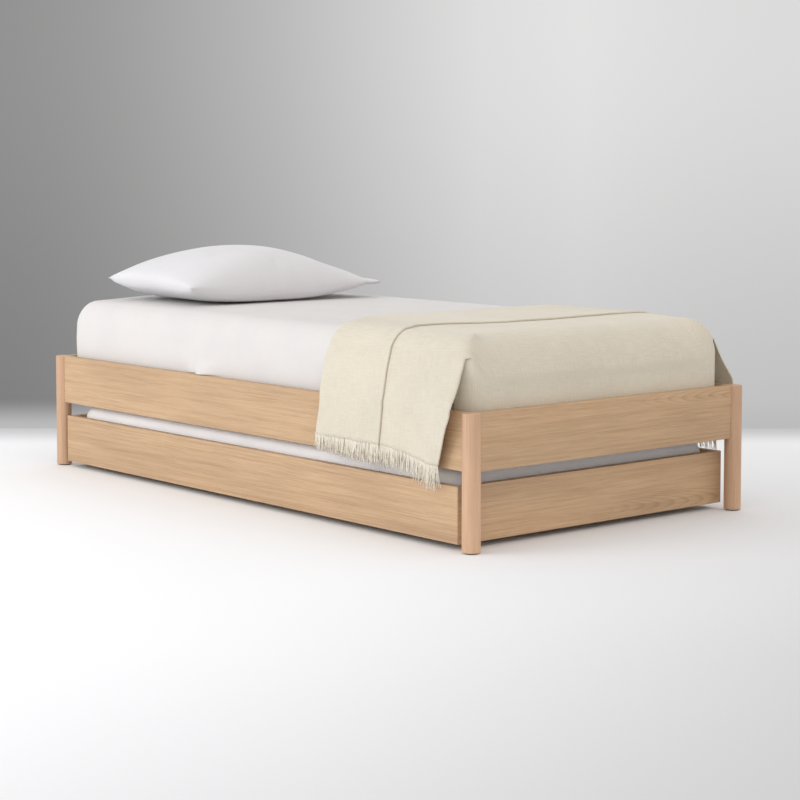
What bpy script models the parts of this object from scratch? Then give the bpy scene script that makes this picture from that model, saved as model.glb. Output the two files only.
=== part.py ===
"""Twin bed with a roll-out trundle.

Two beds in one: an upper bed of four round oak posts joined by flat oak rails, and a low oak
box on fixed casters that rolls out from under its front side rail. Both carry a mattress in a
fitted sheet, and the upper one also has a pillow and a throw.

Units are metres, +Z is up. The origin is on the floor under the middle of the upper bed.
X runs along the bed, from the head (-X) to the foot (+X). The trundle rolls out towards -Y.
"""

import math

import bmesh
import bpy
from mathutils import Vector

# ---- Driving dimensions: upper bed frame ----
POST_SPACING_X = 1.950
POST_SPACING_Y = 0.988
POST_RADIUS = 0.024
BED_HEIGHT = 0.352
GLIDE_THICKNESS = 0.0027
GLIDE_RADIUS = 0.017
RAIL_BOTTOM = 0.204
RAIL_THICKNESS = 0.025
RAIL_PROUD = 0.0105  # outer face of a rail, outside the line through the post centres
COPE_GAP = 0.0008  # between a post and the hollowed end of a rail
POST_EDGE_ROUNDING = 0.0015

CLEAT_WIDTH = 0.025
CLEAT_BOTTOM = 0.210
SLAT_BOTTOM = 0.238
SLAT_THICKNESS = 0.014
SLAT_WIDTH = 0.085
SLAT_COUNT = 10
SLAT_SPAN_X = 0.870  # outer edge of the last slat, from the middle of the bed
SLAT_END_GAP = 0.002  # between a slat and the side rail
CLEAT_HALF_LENGTH = 0.875

PLATE_THICKNESS = 0.003
PLATE_REACH = 0.060  # from the corner between two rails to each bend of the plate
PLATE_FLANGE = 0.018
PLATE_HEIGHT = 0.030
PLATE_GAP = 0.0005  # between a flange and its rail
BOLT_HEIGHT = 0.227
BOLT_RADIUS = 0.004
BOLT_HEAD_RADIUS = 0.0075
BOLT_HEAD_THICKNESS = 0.0053
BOLT_DEPTH = 0.0135  # how far the bolt goes into its post
BOLT_TIP_CHAMFER = 0.001
BOLT_TIP_GAP = 0.0006
BORE_CLEARANCE = 0.0004  # round a bolt or an axle

# ---- Driving dimensions: trundle ----
BOX_HALF_LENGTH = 0.937
BOX_FRONT = -0.505
BOX_BACK = 0.489
BOX_BOTTOM = 0.017
BOX_TOP = 0.163
BOX_BOARD = 0.020
BOARD_SOFTENING = 0.0008
DECK_TOP = 0.0745
DECK_THICKNESS = 0.010
DECK_SPLIT = 0.002  # gap between the two deck panels
DECK_GAP = 0.001  # round the deck and the wood under it
BEARER_HEIGHT = 0.024
BEARER_WIDTH = 0.040

WHEEL_RADIUS = 0.025
WHEEL_WIDTH = 0.018
WHEEL_CENTRE_Z = 0.0252
WHEEL_CHAMFER = 0.003
AXLE_RADIUS = 0.003
AXLE_HEAD_RADIUS = 0.005
AXLE_HEAD_THICKNESS = 0.0015
FORK_GAP = 0.021
FORK_THICKNESS = 0.002
FORK_LENGTH = 0.030
FORK_FOOT = 0.016
CASTER_PLATE_WIDTH = 0.060
CASTER_PLATE_THICKNESS = 0.003
CASTER_X = 0.800
CASTER_Y = (-0.400, 0.384)

# ---- Driving dimensions: bedding ----
SHEET_THICKNESS = 0.002
SHEET_GAP = 0.0005
HEM_WIDTH = 0.050
BED_SHEET_HALF = (0.9520, 0.4740)
BED_SHEET_Z = (0.2525, 0.5300)
BED_SHEET_CORNER = 0.038
BED_SHEET_EDGE = (0.060, 0.075)  # rounding of the top edge: inwards, downwards
TRUNDLE_SHEET_X = 0.900
TRUNDLE_SHEET_Y = (-0.475, 0.465)
TRUNDLE_SHEET_Z = (0.0750, 0.1990)
TRUNDLE_SHEET_CORNER = 0.038
TRUNDLE_SHEET_EDGE = (0.034, 0.040)
BOTTOM_ROUNDING = 0.014

PILLOW_CENTRE = (-0.660, 0.005)
PILLOW_HALF = (0.235, 0.375)
PILLOW_SEAM_Z = 0.600
PILLOW_TOP_Z = 0.700
PILLOW_BOTTOM_Z = 0.5312
PILLOW_RIM = 0.010  # half the thickness of its two ends, at the seam
PILLOW_WAIST = 0.06  # share by which it is narrower halfway
PILLOW_STATIONS = [-1.0, -0.96, -0.85, -0.65, -0.35, 0.0, 0.35, 0.65, 0.85, 0.96, 1.0]
PILLOWCASE_THICKNESS = 0.003
PILLOW_INSET = 0.0105  # from the outside of the case to the pillow in it
PILLOW_FILL = 0.92  # share of the case's length that the pillow takes up

THROW_THICKNESS = 0.003
THROW_CLEARANCE = 0.0015
THROW_HEAD_EDGE = 0.290
THROW_DROP_EDGE = 0.380  # head side edge of the parts that hang over the sides
THROW_FOOT_EDGE = 0.937  # foot side edge of the parts that hang over the sides
THROW_BOTTOM = 0.2055
THROW_TUCK_BOTTOM = 0.270
THROW_OVER_RAIL = 0.001  # height over the rail at which it starts to hang straight

GAP = 0.0003  # between pieces that rest on each other
EDGE_SOFTENING = 0.0012
SHARP_ANGLE = math.radians(35)
SOFTENED_ANGLE = math.radians(30)
CUTTER_OVERRUN = 0.05
ROUND_SEGMENTS = 48
GLIDE_SEGMENTS = 24
BORE_SEGMENTS = 20
WHEEL_SEGMENTS = 36

# ---- Derived places ----
POST_X = POST_SPACING_X / 2
POST_Y = POST_SPACING_Y / 2
RAIL_INNER_X = POST_X + RAIL_PROUD - RAIL_THICKNESS
RAIL_INNER_Y = POST_Y + RAIL_PROUD - RAIL_THICKNESS
ENDS = {"head": -1, "foot": 1}
SIDES = {"front": -1, "back": 1}
CORNERS = [(e, s) for e in ENDS for s in SIDES]

# ---- Finishes: colour, roughness, metallic ----
FINISHES = {
    "oak": ((0.56, 0.38, 0.24), 0.45, 0.0),
    "slat_wood": ((0.62, 0.48, 0.32), 0.6, 0.0),
    "plywood": ((0.60, 0.44, 0.29), 0.6, 0.0),
    "steel": ((0.45, 0.46, 0.47), 0.4, 1.0),
    "black_plastic": ((0.03, 0.03, 0.03), 0.5, 0.0),
    "grey_rubber": ((0.12, 0.12, 0.12), 0.7, 0.0),
    "mattress_cover": ((0.82, 0.81, 0.79), 0.9, 0.0),
    "white_cotton": ((0.85, 0.84, 0.83), 0.85, 0.0),
    "cream_wool": ((0.78, 0.73, 0.62), 0.9, 0.0),
}


# ---------------------------------------------------------------- scene helpers
def clear_scene():
    for obj in list(bpy.data.objects):
        bpy.data.objects.remove(obj, do_unlink=True)


def make_materials():
    made = {}
    for name, (colour, roughness, metallic) in FINISHES.items():
        mat = bpy.data.materials.new(name)
        mat.use_nodes = True
        shader = mat.node_tree.nodes["Principled BSDF"]
        shader.inputs["Base Color"].default_value = (*colour, 1.0)
        shader.inputs["Roughness"].default_value = roughness
        shader.inputs["Metallic"].default_value = metallic
        made[name] = mat
    return made


def add_empty(name, location=(0, 0, 0), parent=None):
    empty = bpy.data.objects.new(name, None)
    empty.location = location
    empty.parent = parent
    bpy.context.collection.objects.link(empty)
    return empty


def add_object(name, bm, finish, location=(0, 0, 0), parent=None, smooth=False):
    """Turn a bmesh into a named object, with its faces pointing out."""
    bmesh.ops.recalc_face_normals(bm, faces=bm.faces)
    mesh = bpy.data.meshes.new(name)
    bm.to_mesh(mesh)
    bm.free()
    if smooth:
        mesh.shade_smooth()
        mesh.set_sharp_from_angle(angle=SHARP_ANGLE)
    obj = bpy.data.objects.new(name, mesh)
    obj.location = location
    obj.parent = parent
    obj.data.materials.append(MATERIALS[finish])
    bpy.context.collection.objects.link(obj)
    return obj


def soften(obj, width=EDGE_SOFTENING):
    bevel = obj.modifiers.new("soft_edges", "BEVEL")
    bevel.width = width
    bevel.segments = 1
    bevel.limit_method = "ANGLE"
    bevel.angle_limit = SOFTENED_ANGLE


def cut(obj, cutter):
    hole = obj.modifiers.new(cutter.name, "BOOLEAN")
    hole.operation = "DIFFERENCE"
    hole.solver = "EXACT"
    hole.object = cutter


def add_cutter(name, radius, start, end, segments=BORE_SEGMENTS):
    """A round cutter between two points, left out of the model itself."""
    start, end = Vector(start), Vector(end)
    bm = bmesh.new()
    bmesh.ops.create_cone(
        bm,
        cap_ends=True,
        segments=segments,
        radius1=radius,
        radius2=radius,
        depth=(end - start).length,
    )
    cutter = add_object(name, bm, "steel", (start + end) / 2)
    cutter.rotation_mode = "QUATERNION"
    cutter.rotation_quaternion = (end - start).to_track_quat("Z", "Y")
    cutter.hide_render = True
    cutter.display_type = "WIRE"
    return cutter


# ---------------------------------------------------------------- shape helpers
def add_box(name, low, high, finish, parent):
    low, high = Vector(low), Vector(high)
    bm = bmesh.new()
    bmesh.ops.create_cube(bm, size=1.0)
    bmesh.ops.scale(bm, vec=high - low, verts=bm.verts)
    obj = add_object(name, bm, finish, (low + high) / 2, parent)
    soften(obj)
    return obj


def prism_mesh(outline, direction):
    """A flat outline of 3-D points, extruded along a direction."""
    bm = bmesh.new()
    face = bm.faces.new([bm.verts.new(p) for p in outline])
    extruded = bmesh.ops.extrude_face_region(bm, geom=[face])["geom"]
    moved = [v for v in extruded if isinstance(v, bmesh.types.BMVert)]
    bmesh.ops.translate(bm, vec=direction, verts=moved)
    return bm


def loft_mesh(rings):
    """A closed tube through rings of points, capped at its first and last ring."""
    bm = bmesh.new()
    loops = [[bm.verts.new(p) for p in ring] for ring in rings]
    count = len(loops[0])
    for lower, upper in zip(loops, loops[1:]):
        for i in range(count):
            j = (i + 1) % count
            bm.faces.new((lower[i], lower[j], upper[j], upper[i]))
    bm.faces.new(loops[0])
    bm.faces.new(loops[-1])
    return bm


def turned_mesh(profile, segments, bore=False):
    """(x, radius) points turned about the X axis. With a bore, the profile closes on itself."""
    rings = []
    for x, radius in profile:
        turns = [2 * math.pi * k / segments for k in range(segments)]
        rings.append([(x, radius * math.sin(a), -radius * math.cos(a)) for a in turns])
    if not bore:
        return loft_mesh(rings)
    bm = bmesh.new()
    loops = [[bm.verts.new(p) for p in ring] for ring in rings]
    for here, there in zip(loops, loops[1:] + loops[:1]):
        for i in range(segments):
            j = (i + 1) % segments
            bm.faces.new((here[i], here[j], there[j], there[i]))
    return bm


def rounded_rectangle(half_x, half_y, radius, z, steps=5):
    """A ring of points round a rectangle with round corners, centred on the Z axis."""
    ring = []
    for quarter, (sx, sy) in enumerate(((1, 1), (-1, 1), (-1, -1), (1, -1))):
        cx, cy = sx * (half_x - radius), sy * (half_y - radius)
        for k in range(steps + 1):
            a = math.pi / 2 * (quarter + k / steps)
            ring.append((cx + radius * math.cos(a), cy + radius * math.sin(a), z))
    return ring


def edge_arc(inwards, downwards, steps=4):
    """(distance in, distance down) along a soft top edge, from the side up to the top."""
    arc = []
    for k in range(steps + 1):
        a = math.pi / 2 * k / steps
        arc.append((inwards * (1 - math.cos(a)), downwards * (1 - math.sin(a))))
    return arc


def soft_block_rings(half, z_range, corner, edge, inset):
    """Rings of a mattress shape, from its underside up, all moved in by inset."""
    half_x, half_y = half[0] - inset, half[1] - inset
    low, high = z_range[0] + inset, z_range[1] - inset
    corner = corner - inset
    steps = []
    for inwards, downwards in edge_arc(BOTTOM_ROUNDING - inset, BOTTOM_ROUNDING - inset, 2):
        steps.insert(0, (inwards, low + downwards))
    for inwards, downwards in edge_arc(edge[0] - inset, edge[1] - inset):
        steps.append((inwards, high - downwards))
    rings = []
    for inwards, z in steps:
        radius = max(corner - inwards, 0.25 * corner)
        rings.append(rounded_rectangle(half_x - inwards, half_y - inwards, radius, z))
    return rings


# ---------------------------------------------------------------- upper bed frame
def make_cutters():
    """A cope at each post for the rails, and a bore along each corner bolt."""
    made = {}
    for end, side in CORNERS:
        x, y = ENDS[end] * POST_X, SIDES[side] * POST_Y
        cope = add_cutter(
            f"cope_cutter_{end}_{side}",
            POST_RADIUS + COPE_GAP,
            (x, y, RAIL_BOTTOM - CUTTER_OVERRUN),
            (x, y, BED_HEIGHT + CUTTER_OVERRUN),
            ROUND_SEGMENTS,
        )
        start = corner_bolt_point(end, side, POST_RADIUS - BOLT_DEPTH - BOLT_TIP_GAP)
        stop = corner_bolt_point(end, side, POST_RADIUS + PLATE_REACH)
        radius = BOLT_RADIUS + BORE_CLEARANCE
        bore = add_cutter(f"bolt_cutter_{end}_{side}", radius, start, stop)
        made[end, side] = cope, bore
    return made


def corner_bolt_point(end, side, distance):
    """A point on the bolt's axis, at a distance from the post's centre towards the bed."""
    step = distance / math.sqrt(2)
    x = ENDS[end] * (POST_X - step)
    y = SIDES[side] * (POST_Y - step)
    return Vector((x, y, BOLT_HEIGHT))


def make_post(end, side):
    x, y = ENDS[end] * POST_X, SIDES[side] * POST_Y
    low = GLIDE_THICKNESS + GAP
    bm = bmesh.new()
    bmesh.ops.create_cone(
        bm,
        cap_ends=True,
        segments=ROUND_SEGMENTS,
        radius1=POST_RADIUS,
        radius2=POST_RADIUS,
        depth=BED_HEIGHT - low,
    )
    place = (x, y, (BED_HEIGHT + low) / 2)
    post = add_object(f"post_{end}_{side}", bm, "oak", place, BED, smooth=True)
    soften(post, POST_EDGE_ROUNDING)
    cut(post, CUTTERS[end, side][1])
    bm = bmesh.new()
    bmesh.ops.create_cone(
        bm,
        cap_ends=True,
        segments=GLIDE_SEGMENTS,
        radius1=GLIDE_RADIUS,
        radius2=GLIDE_RADIUS,
        depth=GLIDE_THICKNESS,
    )
    place = (x, y, GLIDE_THICKNESS / 2)
    add_object(f"glide_{end}_{side}", bm, "black_plastic", place, BED, smooth=True)


def make_rails():
    for side, s in SIDES.items():
        ys = sorted((s * RAIL_INNER_Y, s * (RAIL_INNER_Y + RAIL_THICKNESS)))
        low, high = (-POST_X, ys[0], RAIL_BOTTOM), (POST_X, ys[1], BED_HEIGHT)
        rail = add_box(f"side_rail_{side}", low, high, "oak", BED)
        for end in ENDS:
            cut(rail, CUTTERS[end, side][0])
    for end, e in ENDS.items():
        xs = sorted((e * RAIL_INNER_X, e * (RAIL_INNER_X + RAIL_THICKNESS)))
        low, high = (xs[0], -POST_Y, RAIL_BOTTOM), (xs[1], POST_Y, BED_HEIGHT)
        rail = add_box(f"{end}_rail", low, high, "oak", BED)
        for side in SIDES:
            cut(rail, CUTTERS[end, side][0])


def make_slats():
    for side, s in SIDES.items():
        ys = sorted((s * (RAIL_INNER_Y - GAP), s * (RAIL_INNER_Y - CLEAT_WIDTH)))
        low = (-CLEAT_HALF_LENGTH, ys[0], CLEAT_BOTTOM)
        high = (CLEAT_HALF_LENGTH, ys[1], SLAT_BOTTOM - GAP)
        add_box(f"slat_cleat_{side}", low, high, "slat_wood", BED)
    half_y = RAIL_INNER_Y - SLAT_END_GAP
    first = -SLAT_SPAN_X + SLAT_WIDTH / 2
    pitch = -2 * first / (SLAT_COUNT - 1)
    for n in range(SLAT_COUNT):
        x = first + n * pitch
        low = (x - SLAT_WIDTH / 2, -half_y, SLAT_BOTTOM)
        high = (x + SLAT_WIDTH / 2, half_y, SLAT_BOTTOM + SLAT_THICKNESS)
        add_box(f"slat_{n + 1:02d}", low, high, "slat_wood", BED)


def make_corner_plate(end, side):
    """A folded steel plate across a corner, with a flange on each of its two rails."""
    near, far = PLATE_GAP, PLATE_GAP + PLATE_THICKNESS
    bend = PLATE_THICKNESS * (math.sqrt(2) - 1)
    tip = PLATE_REACH + PLATE_FLANGE
    outer = [(tip, near), (PLATE_REACH - near, near), (near, PLATE_REACH - near), (near, tip)]
    reach = PLATE_REACH + bend
    inner = [(far, tip), (far, reach - near), (reach - near, far), (tip, far)]
    outline = []
    for u, v in outer + inner:
        x = ENDS[end] * (RAIL_INNER_X - u)
        y = SIDES[side] * (RAIL_INNER_Y - v)
        outline.append((x, y, 0))
    bm = prism_mesh(outline, (0, 0, PLATE_HEIGHT))
    place = (0, 0, BOLT_HEIGHT - PLATE_HEIGHT / 2)
    plate = add_object(f"corner_plate_{end}_{side}", bm, "steel", place, BED)
    cut(plate, CUTTERS[end, side][1])


def make_corner_bolt(end, side):
    """Round-headed bolt from inside the bed, through the plate, into the post."""
    plate_face = (PLATE_REACH + PLATE_THICKNESS * math.sqrt(2)) / 2
    under_head = math.sqrt(2) * (plate_face + POST_X - RAIL_INNER_X) + GAP
    shank = under_head - (POST_RADIUS - BOLT_DEPTH)
    profile = [
        (-BOLT_HEAD_THICKNESS, BOLT_HEAD_RADIUS),
        (0.0, BOLT_HEAD_RADIUS),
        (0.0, BOLT_RADIUS),
        (shank - BOLT_TIP_CHAMFER, BOLT_RADIUS),
        (shank, BOLT_RADIUS - BOLT_TIP_CHAMFER),
    ]
    bm = turned_mesh(profile, BORE_SEGMENTS)
    place = corner_bolt_point(end, side, under_head)
    bolt = add_object(f"corner_bolt_{end}_{side}", bm, "steel", place, BED, smooth=True)
    bolt.rotation_euler.z = math.atan2(SIDES[side], ENDS[end])


# ---------------------------------------------------------------- trundle
def make_box_boards():
    """Four boards with mitred corners."""
    x_out, x_in = BOX_HALF_LENGTH, BOX_HALF_LENGTH - BOX_BOARD
    height = (0, 0, BOX_TOP - BOX_BOTTOM)
    faces = {"front": (BOX_FRONT, 1), "back": (BOX_BACK, -1)}
    for side, (y, inwards) in faces.items():
        outline = [
            (-x_out + GAP, y, 0),
            (x_out - GAP, y, 0),
            (x_in - GAP, y + inwards * BOX_BOARD, 0),
            (-x_in + GAP, y + inwards * BOX_BOARD, 0),
        ]
        bm = prism_mesh(outline, height)
        board = add_object(f"trundle_{side}_board", bm, "oak", (0, 0, BOX_BOTTOM), TRUNDLE)
        soften(board, BOARD_SOFTENING)
    for end, e in ENDS.items():
        outline = [
            (e * x_out, BOX_FRONT + GAP, 0),
            (e * x_out, BOX_BACK - GAP, 0),
            (e * x_in, BOX_BACK - BOX_BOARD - GAP, 0),
            (e * x_in, BOX_FRONT + BOX_BOARD + GAP, 0),
        ]
        bm = prism_mesh(outline, height)
        board = add_object(f"trundle_{end}_board", bm, "oak", (0, 0, BOX_BOTTOM), TRUNDLE)
        soften(board, BOARD_SOFTENING)


def make_deck():
    inner_x = BOX_HALF_LENGTH - BOX_BOARD - DECK_GAP
    inner_y = (BOX_FRONT + BOX_BOARD + DECK_GAP, BOX_BACK - BOX_BOARD - DECK_GAP)
    under = DECK_TOP - DECK_THICKNESS - GAP
    low_z = under - BEARER_HEIGHT
    for side, y, inwards in (("front", inner_y[0], 1), ("back", inner_y[1], -1)):
        ys = sorted((y, y + inwards * CLEAT_WIDTH))
        low, high = (-inner_x, ys[0], low_z), (inner_x, ys[1], under)
        add_box(f"trundle_cleat_{side}", low, high, "slat_wood", TRUNDLE)
    low = (-BEARER_WIDTH / 2, inner_y[0] + CLEAT_WIDTH + DECK_GAP, low_z)
    high = (BEARER_WIDTH / 2, inner_y[1] - CLEAT_WIDTH - DECK_GAP, under)
    add_box("trundle_bearer", low, high, "slat_wood", TRUNDLE)
    for end, e in ENDS.items():
        xs = sorted((e * DECK_SPLIT / 2, e * inner_x))
        low = (xs[0], inner_y[0], DECK_TOP - DECK_THICKNESS)
        add_box(f"deck_panel_{end}", low, (xs[1], inner_y[1], DECK_TOP), "plywood", TRUNDLE)


def make_caster(end, side, y):
    """Fixed caster: folded bracket under the deck, wheel and riveted axle along X."""
    centre = (ENDS[end] * CASTER_X, y, WHEEL_CENTRE_Z)
    caster = add_empty(f"caster_{end}_{side}", centre, TRUNDLE)

    plate_top = DECK_TOP - DECK_THICKNESS - GAP - WHEEL_CENTRE_Z
    plate_low = plate_top - CASTER_PLATE_THICKNESS
    foot = FORK_FOOT - WHEEL_CENTRE_Z
    leg_in, leg_out = FORK_GAP / 2, FORK_GAP / 2 + FORK_THICKNESS
    wide = CASTER_PLATE_WIDTH / 2
    half_section = [(leg_in, plate_low), (leg_in, foot), (leg_out, foot)]
    half_section += [(leg_out, plate_low), (wide, plate_low), (wide, plate_top)]
    mirrored = [(-x, z) for x, z in reversed(half_section)]
    outline = [(x, -FORK_LENGTH / 2, z) for x, z in half_section + mirrored]
    bm = prism_mesh(outline, (0, FORK_LENGTH, 0))
    bracket = add_object(f"caster_bracket_{end}_{side}", bm, "steel", parent=caster)
    bore_radius = AXLE_RADIUS + BORE_CLEARANCE
    start, stop = (-CUTTER_OVERRUN, 0, 0), (CUTTER_OVERRUN, 0, 0)
    bore = add_cutter(f"axle_cutter_{end}_{side}", bore_radius, start, stop)
    bore.parent = caster
    cut(bracket, bore)

    head_in, head_out = leg_out + GAP, leg_out + GAP + AXLE_HEAD_THICKNESS
    profile = [
        (-head_out, AXLE_HEAD_RADIUS),
        (-head_in, AXLE_HEAD_RADIUS),
        (-head_in, AXLE_RADIUS),
        (head_in, AXLE_RADIUS),
        (head_in, AXLE_HEAD_RADIUS),
        (head_out, AXLE_HEAD_RADIUS),
    ]
    bm = turned_mesh(profile, BORE_SEGMENTS)
    add_object(f"caster_axle_{end}_{side}", bm, "steel", parent=caster, smooth=True)

    half, tread_half = WHEEL_WIDTH / 2, WHEEL_WIDTH / 2 - WHEEL_CHAMFER
    profile = [
        (-half, bore_radius),
        (-half, WHEEL_RADIUS - WHEEL_CHAMFER),
        (-tread_half, WHEEL_RADIUS),
        (tread_half, WHEEL_RADIUS),
        (half, WHEEL_RADIUS - WHEEL_CHAMFER),
        (half, bore_radius),
    ]
    bm = turned_mesh(profile, WHEEL_SEGMENTS, bore=True)
    add_object(f"caster_wheel_{end}_{side}", bm, "grey_rubber", parent=caster, smooth=True)


# ---------------------------------------------------------------- bedding
def make_mattress_and_sheet(prefix, centre_y, half, z_range, corner, edge, parent):
    """A mattress, and the fitted sheet over it: a cup with its hem turned under."""
    place = (0, centre_y, 0)
    inner = soft_block_rings(half, z_range, corner, edge, SHEET_THICKNESS)
    outer = soft_block_rings(half, z_range, corner, edge, 0.0)
    hem = []
    for inset in (0.0, SHEET_THICKNESS):
        x, y = half[0] - HEM_WIDTH, half[1] - HEM_WIDTH
        hem.append(rounded_rectangle(x, y, corner / 2, z_range[0] + inset))
    bm = loft_mesh(outer[::-1] + hem + inner)
    name = f"{prefix}fitted_sheet"
    add_object(name, bm, "white_cotton", place, parent, smooth=True)

    core = soft_block_rings(half, z_range, corner, edge, SHEET_THICKNESS + SHEET_GAP)
    bm = loft_mesh(core)
    add_object(f"{prefix}mattress", bm, "mattress_cover", place, parent, smooth=True)


def pillow_ring(v, inset, steps=8):
    """Lens-shaped ring across the pillow at v, from -1 at its front end to 1 at its back end."""
    fullness = math.sqrt(max(1 - abs(v) ** 2.6, 0.0))
    half_x = PILLOW_HALF[0] * (1 - PILLOW_WAIST * (1 - abs(v))) - inset
    y = PILLOW_CENTRE[1] + v * PILLOW_HALF[1]
    above, below = PILLOW_TOP_Z - PILLOW_SEAM_Z, PILLOW_SEAM_Z - PILLOW_BOTTOM_Z
    rise = PILLOW_RIM + (above - PILLOW_RIM) * fullness - inset
    sink = PILLOW_RIM + (below - PILLOW_RIM) * fullness - inset
    ring = []
    for k in range(steps + 1):
        a = math.pi * k / steps
        ring.append((half_x * math.cos(a), rise * math.sin(a) ** 0.8))
    for k in range(1, steps):
        a = math.pi * (1 + k / steps)
        ring.append((half_x * math.cos(a), -sink * abs(math.sin(a)) ** 0.6))
    return [(PILLOW_CENTRE[0] + u, y, PILLOW_SEAM_Z + w) for u, w in ring]


def make_pillow():
    """A pillow in a pillowcase that is open at its back end."""
    outer = [pillow_ring(v, 0.0) for v in PILLOW_STATIONS]
    inner = [pillow_ring(v, PILLOWCASE_THICKNESS) for v in PILLOW_STATIONS[1:]]
    bm = loft_mesh(outer + inner[::-1])
    add_object("pillowcase", bm, "white_cotton", parent=BED, smooth=True)
    stuffing = [pillow_ring(v * PILLOW_FILL, PILLOW_INSET) for v in PILLOW_STATIONS]
    add_object("pillow", loft_mesh(stuffing), "white_cotton", parent=BED, smooth=True)


def throw_lengthwise():
    """(x, z, zone) along the throw, from its head side edge to the part tucked in at the foot."""
    half_x, top = BED_SHEET_HALF[0] + THROW_CLEARANCE, BED_SHEET_Z[1] + THROW_CLEARANCE
    flat_end = half_x - BED_SHEET_EDGE[0]
    points = [(THROW_HEAD_EDGE, top, "head"), (THROW_DROP_EDGE, top, "top")]
    points += [((THROW_DROP_EDGE + flat_end) / 2, top, "top"), (flat_end, top, "top")]
    for inwards, downwards in reversed(edge_arc(*BED_SHEET_EDGE)[:-1]):
        points.append((half_x - inwards, top - downwards, "edge"))
    points.append((half_x, THROW_TUCK_BOTTOM, "edge"))
    return points


def throw_crosswise():
    """(y, z, zone) across half of the throw, from the middle to its hanging edge."""
    half_y, top = BED_SHEET_HALF[1] + THROW_CLEARANCE, BED_SHEET_Z[1] + THROW_CLEARANCE
    flat_end = half_y - BED_SHEET_EDGE[0]
    points = [(0.0, top, "top"), (flat_end / 2, top, "top"), (flat_end, top, "top")]
    for inwards, downwards in reversed(edge_arc(*BED_SHEET_EDGE)[:-1]):
        points.append((half_y - inwards, top - downwards, "edge"))
    over_rail = RAIL_INNER_Y + RAIL_THICKNESS + THROW_CLEARANCE
    points.append((over_rail, BED_HEIGHT + THROW_OVER_RAIL, "drop"))
    points.append((over_rail, (BED_HEIGHT + THROW_BOTTOM) / 2, "drop"))
    points.append((over_rail, THROW_BOTTOM, "drop"))
    return points


def throw_covers(zone_x, x, zone_y):
    """Whether the cloth is there: its corners at the foot and its head edge are cut back."""
    if zone_x == "head":
        return zone_y == "top"
    if zone_x == "top":
        return True
    if zone_y == "edge":
        return False
    return zone_y == "top" or x <= THROW_FOOT_EDGE


def make_throw():
    """One cloth over the foot half of the bed: top, a drop at each side, and a tuck at the foot."""
    along = throw_lengthwise()
    half = throw_crosswise()
    across = [(-y, z, zone) for y, z, zone in reversed(half[1:])] + half
    bm = bmesh.new()
    made = {}

    def corner(i, j):
        if (i, j) not in made:
            x, z_x, _ = along[i]
            y, z_y, _ = across[j]
            made[i, j] = bm.verts.new((x, y, min(z_x, z_y)))
        return made[i, j]

    for i in range(len(along) - 1):
        for j in range(len(across) - 1):
            zone_x = along[i][2] if i == 0 else along[i + 1][2]
            outer_j = j if across[j][0] < 0 else j + 1
            zone_y = across[outer_j][2]
            if throw_covers(zone_x, along[i + 1][0], zone_y):
                loop = (corner(i, j), corner(i + 1, j), corner(i + 1, j + 1), corner(i, j + 1))
                bm.faces.new(loop)
    throw = add_object("throw", bm, "cream_wool", parent=BED, smooth=True)
    outwards = 1.0 if throw.data.polygons[0].normal.z > 0 else -1.0
    thickness = throw.modifiers.new("cloth_thickness", "SOLIDIFY")
    thickness.thickness = THROW_THICKNESS
    thickness.offset = outwards
    thickness.use_even_offset = True


# ---------------------------------------------------------------- assembly
clear_scene()
MATERIALS = make_materials()
BED = add_empty("bed_frame_origin")
TRUNDLE = add_empty("trundle_origin")
CUTTERS = make_cutters()

make_rails()
make_slats()
for corner_end, corner_side in CORNERS:
    make_post(corner_end, corner_side)
    make_corner_plate(corner_end, corner_side)
    make_corner_bolt(corner_end, corner_side)

make_box_boards()
make_deck()
for caster_end in ENDS:
    for caster_side, caster_y in zip(SIDES, CASTER_Y):
        make_caster(caster_end, caster_side, caster_y)

make_mattress_and_sheet(
    "", 0.0, BED_SHEET_HALF, BED_SHEET_Z, BED_SHEET_CORNER, BED_SHEET_EDGE, BED
)
make_mattress_and_sheet(
    "trundle_",
    sum(TRUNDLE_SHEET_Y) / 2,
    (TRUNDLE_SHEET_X, (TRUNDLE_SHEET_Y[1] - TRUNDLE_SHEET_Y[0]) / 2),
    TRUNDLE_SHEET_Z,
    TRUNDLE_SHEET_CORNER,
    TRUNDLE_SHEET_EDGE,
    TRUNDLE,
)
make_pillow()
make_throw()
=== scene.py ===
"""Looks for the twin bed with a roll-out trundle: its wood, metal, bedding and studio.

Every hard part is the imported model's own, with a new material. The two mattresses, their fitted
sheets, the pillow in its case and the throw are built here, in the places that the model gives.
Metres, +Z up; X runs from the head to the foot of the bed, and its front side faces -Y.
"""

import math
import random

import bpy
import numpy as np
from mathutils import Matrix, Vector, noise


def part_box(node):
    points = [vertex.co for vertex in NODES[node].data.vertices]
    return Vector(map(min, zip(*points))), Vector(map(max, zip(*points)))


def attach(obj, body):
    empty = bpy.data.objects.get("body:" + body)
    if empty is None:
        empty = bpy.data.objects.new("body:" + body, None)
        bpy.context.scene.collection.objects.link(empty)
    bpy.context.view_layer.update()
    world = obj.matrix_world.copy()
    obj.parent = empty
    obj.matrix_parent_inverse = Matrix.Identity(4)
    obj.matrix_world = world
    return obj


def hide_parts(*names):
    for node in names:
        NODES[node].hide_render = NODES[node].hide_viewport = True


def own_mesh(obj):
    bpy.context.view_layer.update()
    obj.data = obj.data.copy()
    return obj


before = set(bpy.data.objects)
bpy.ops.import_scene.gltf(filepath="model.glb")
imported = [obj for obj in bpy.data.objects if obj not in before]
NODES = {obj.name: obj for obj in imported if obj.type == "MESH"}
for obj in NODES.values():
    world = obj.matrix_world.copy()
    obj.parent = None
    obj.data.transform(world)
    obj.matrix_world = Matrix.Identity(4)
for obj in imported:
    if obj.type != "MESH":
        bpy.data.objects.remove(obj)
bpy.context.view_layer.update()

ENDS = ("head", "foot")
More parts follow.
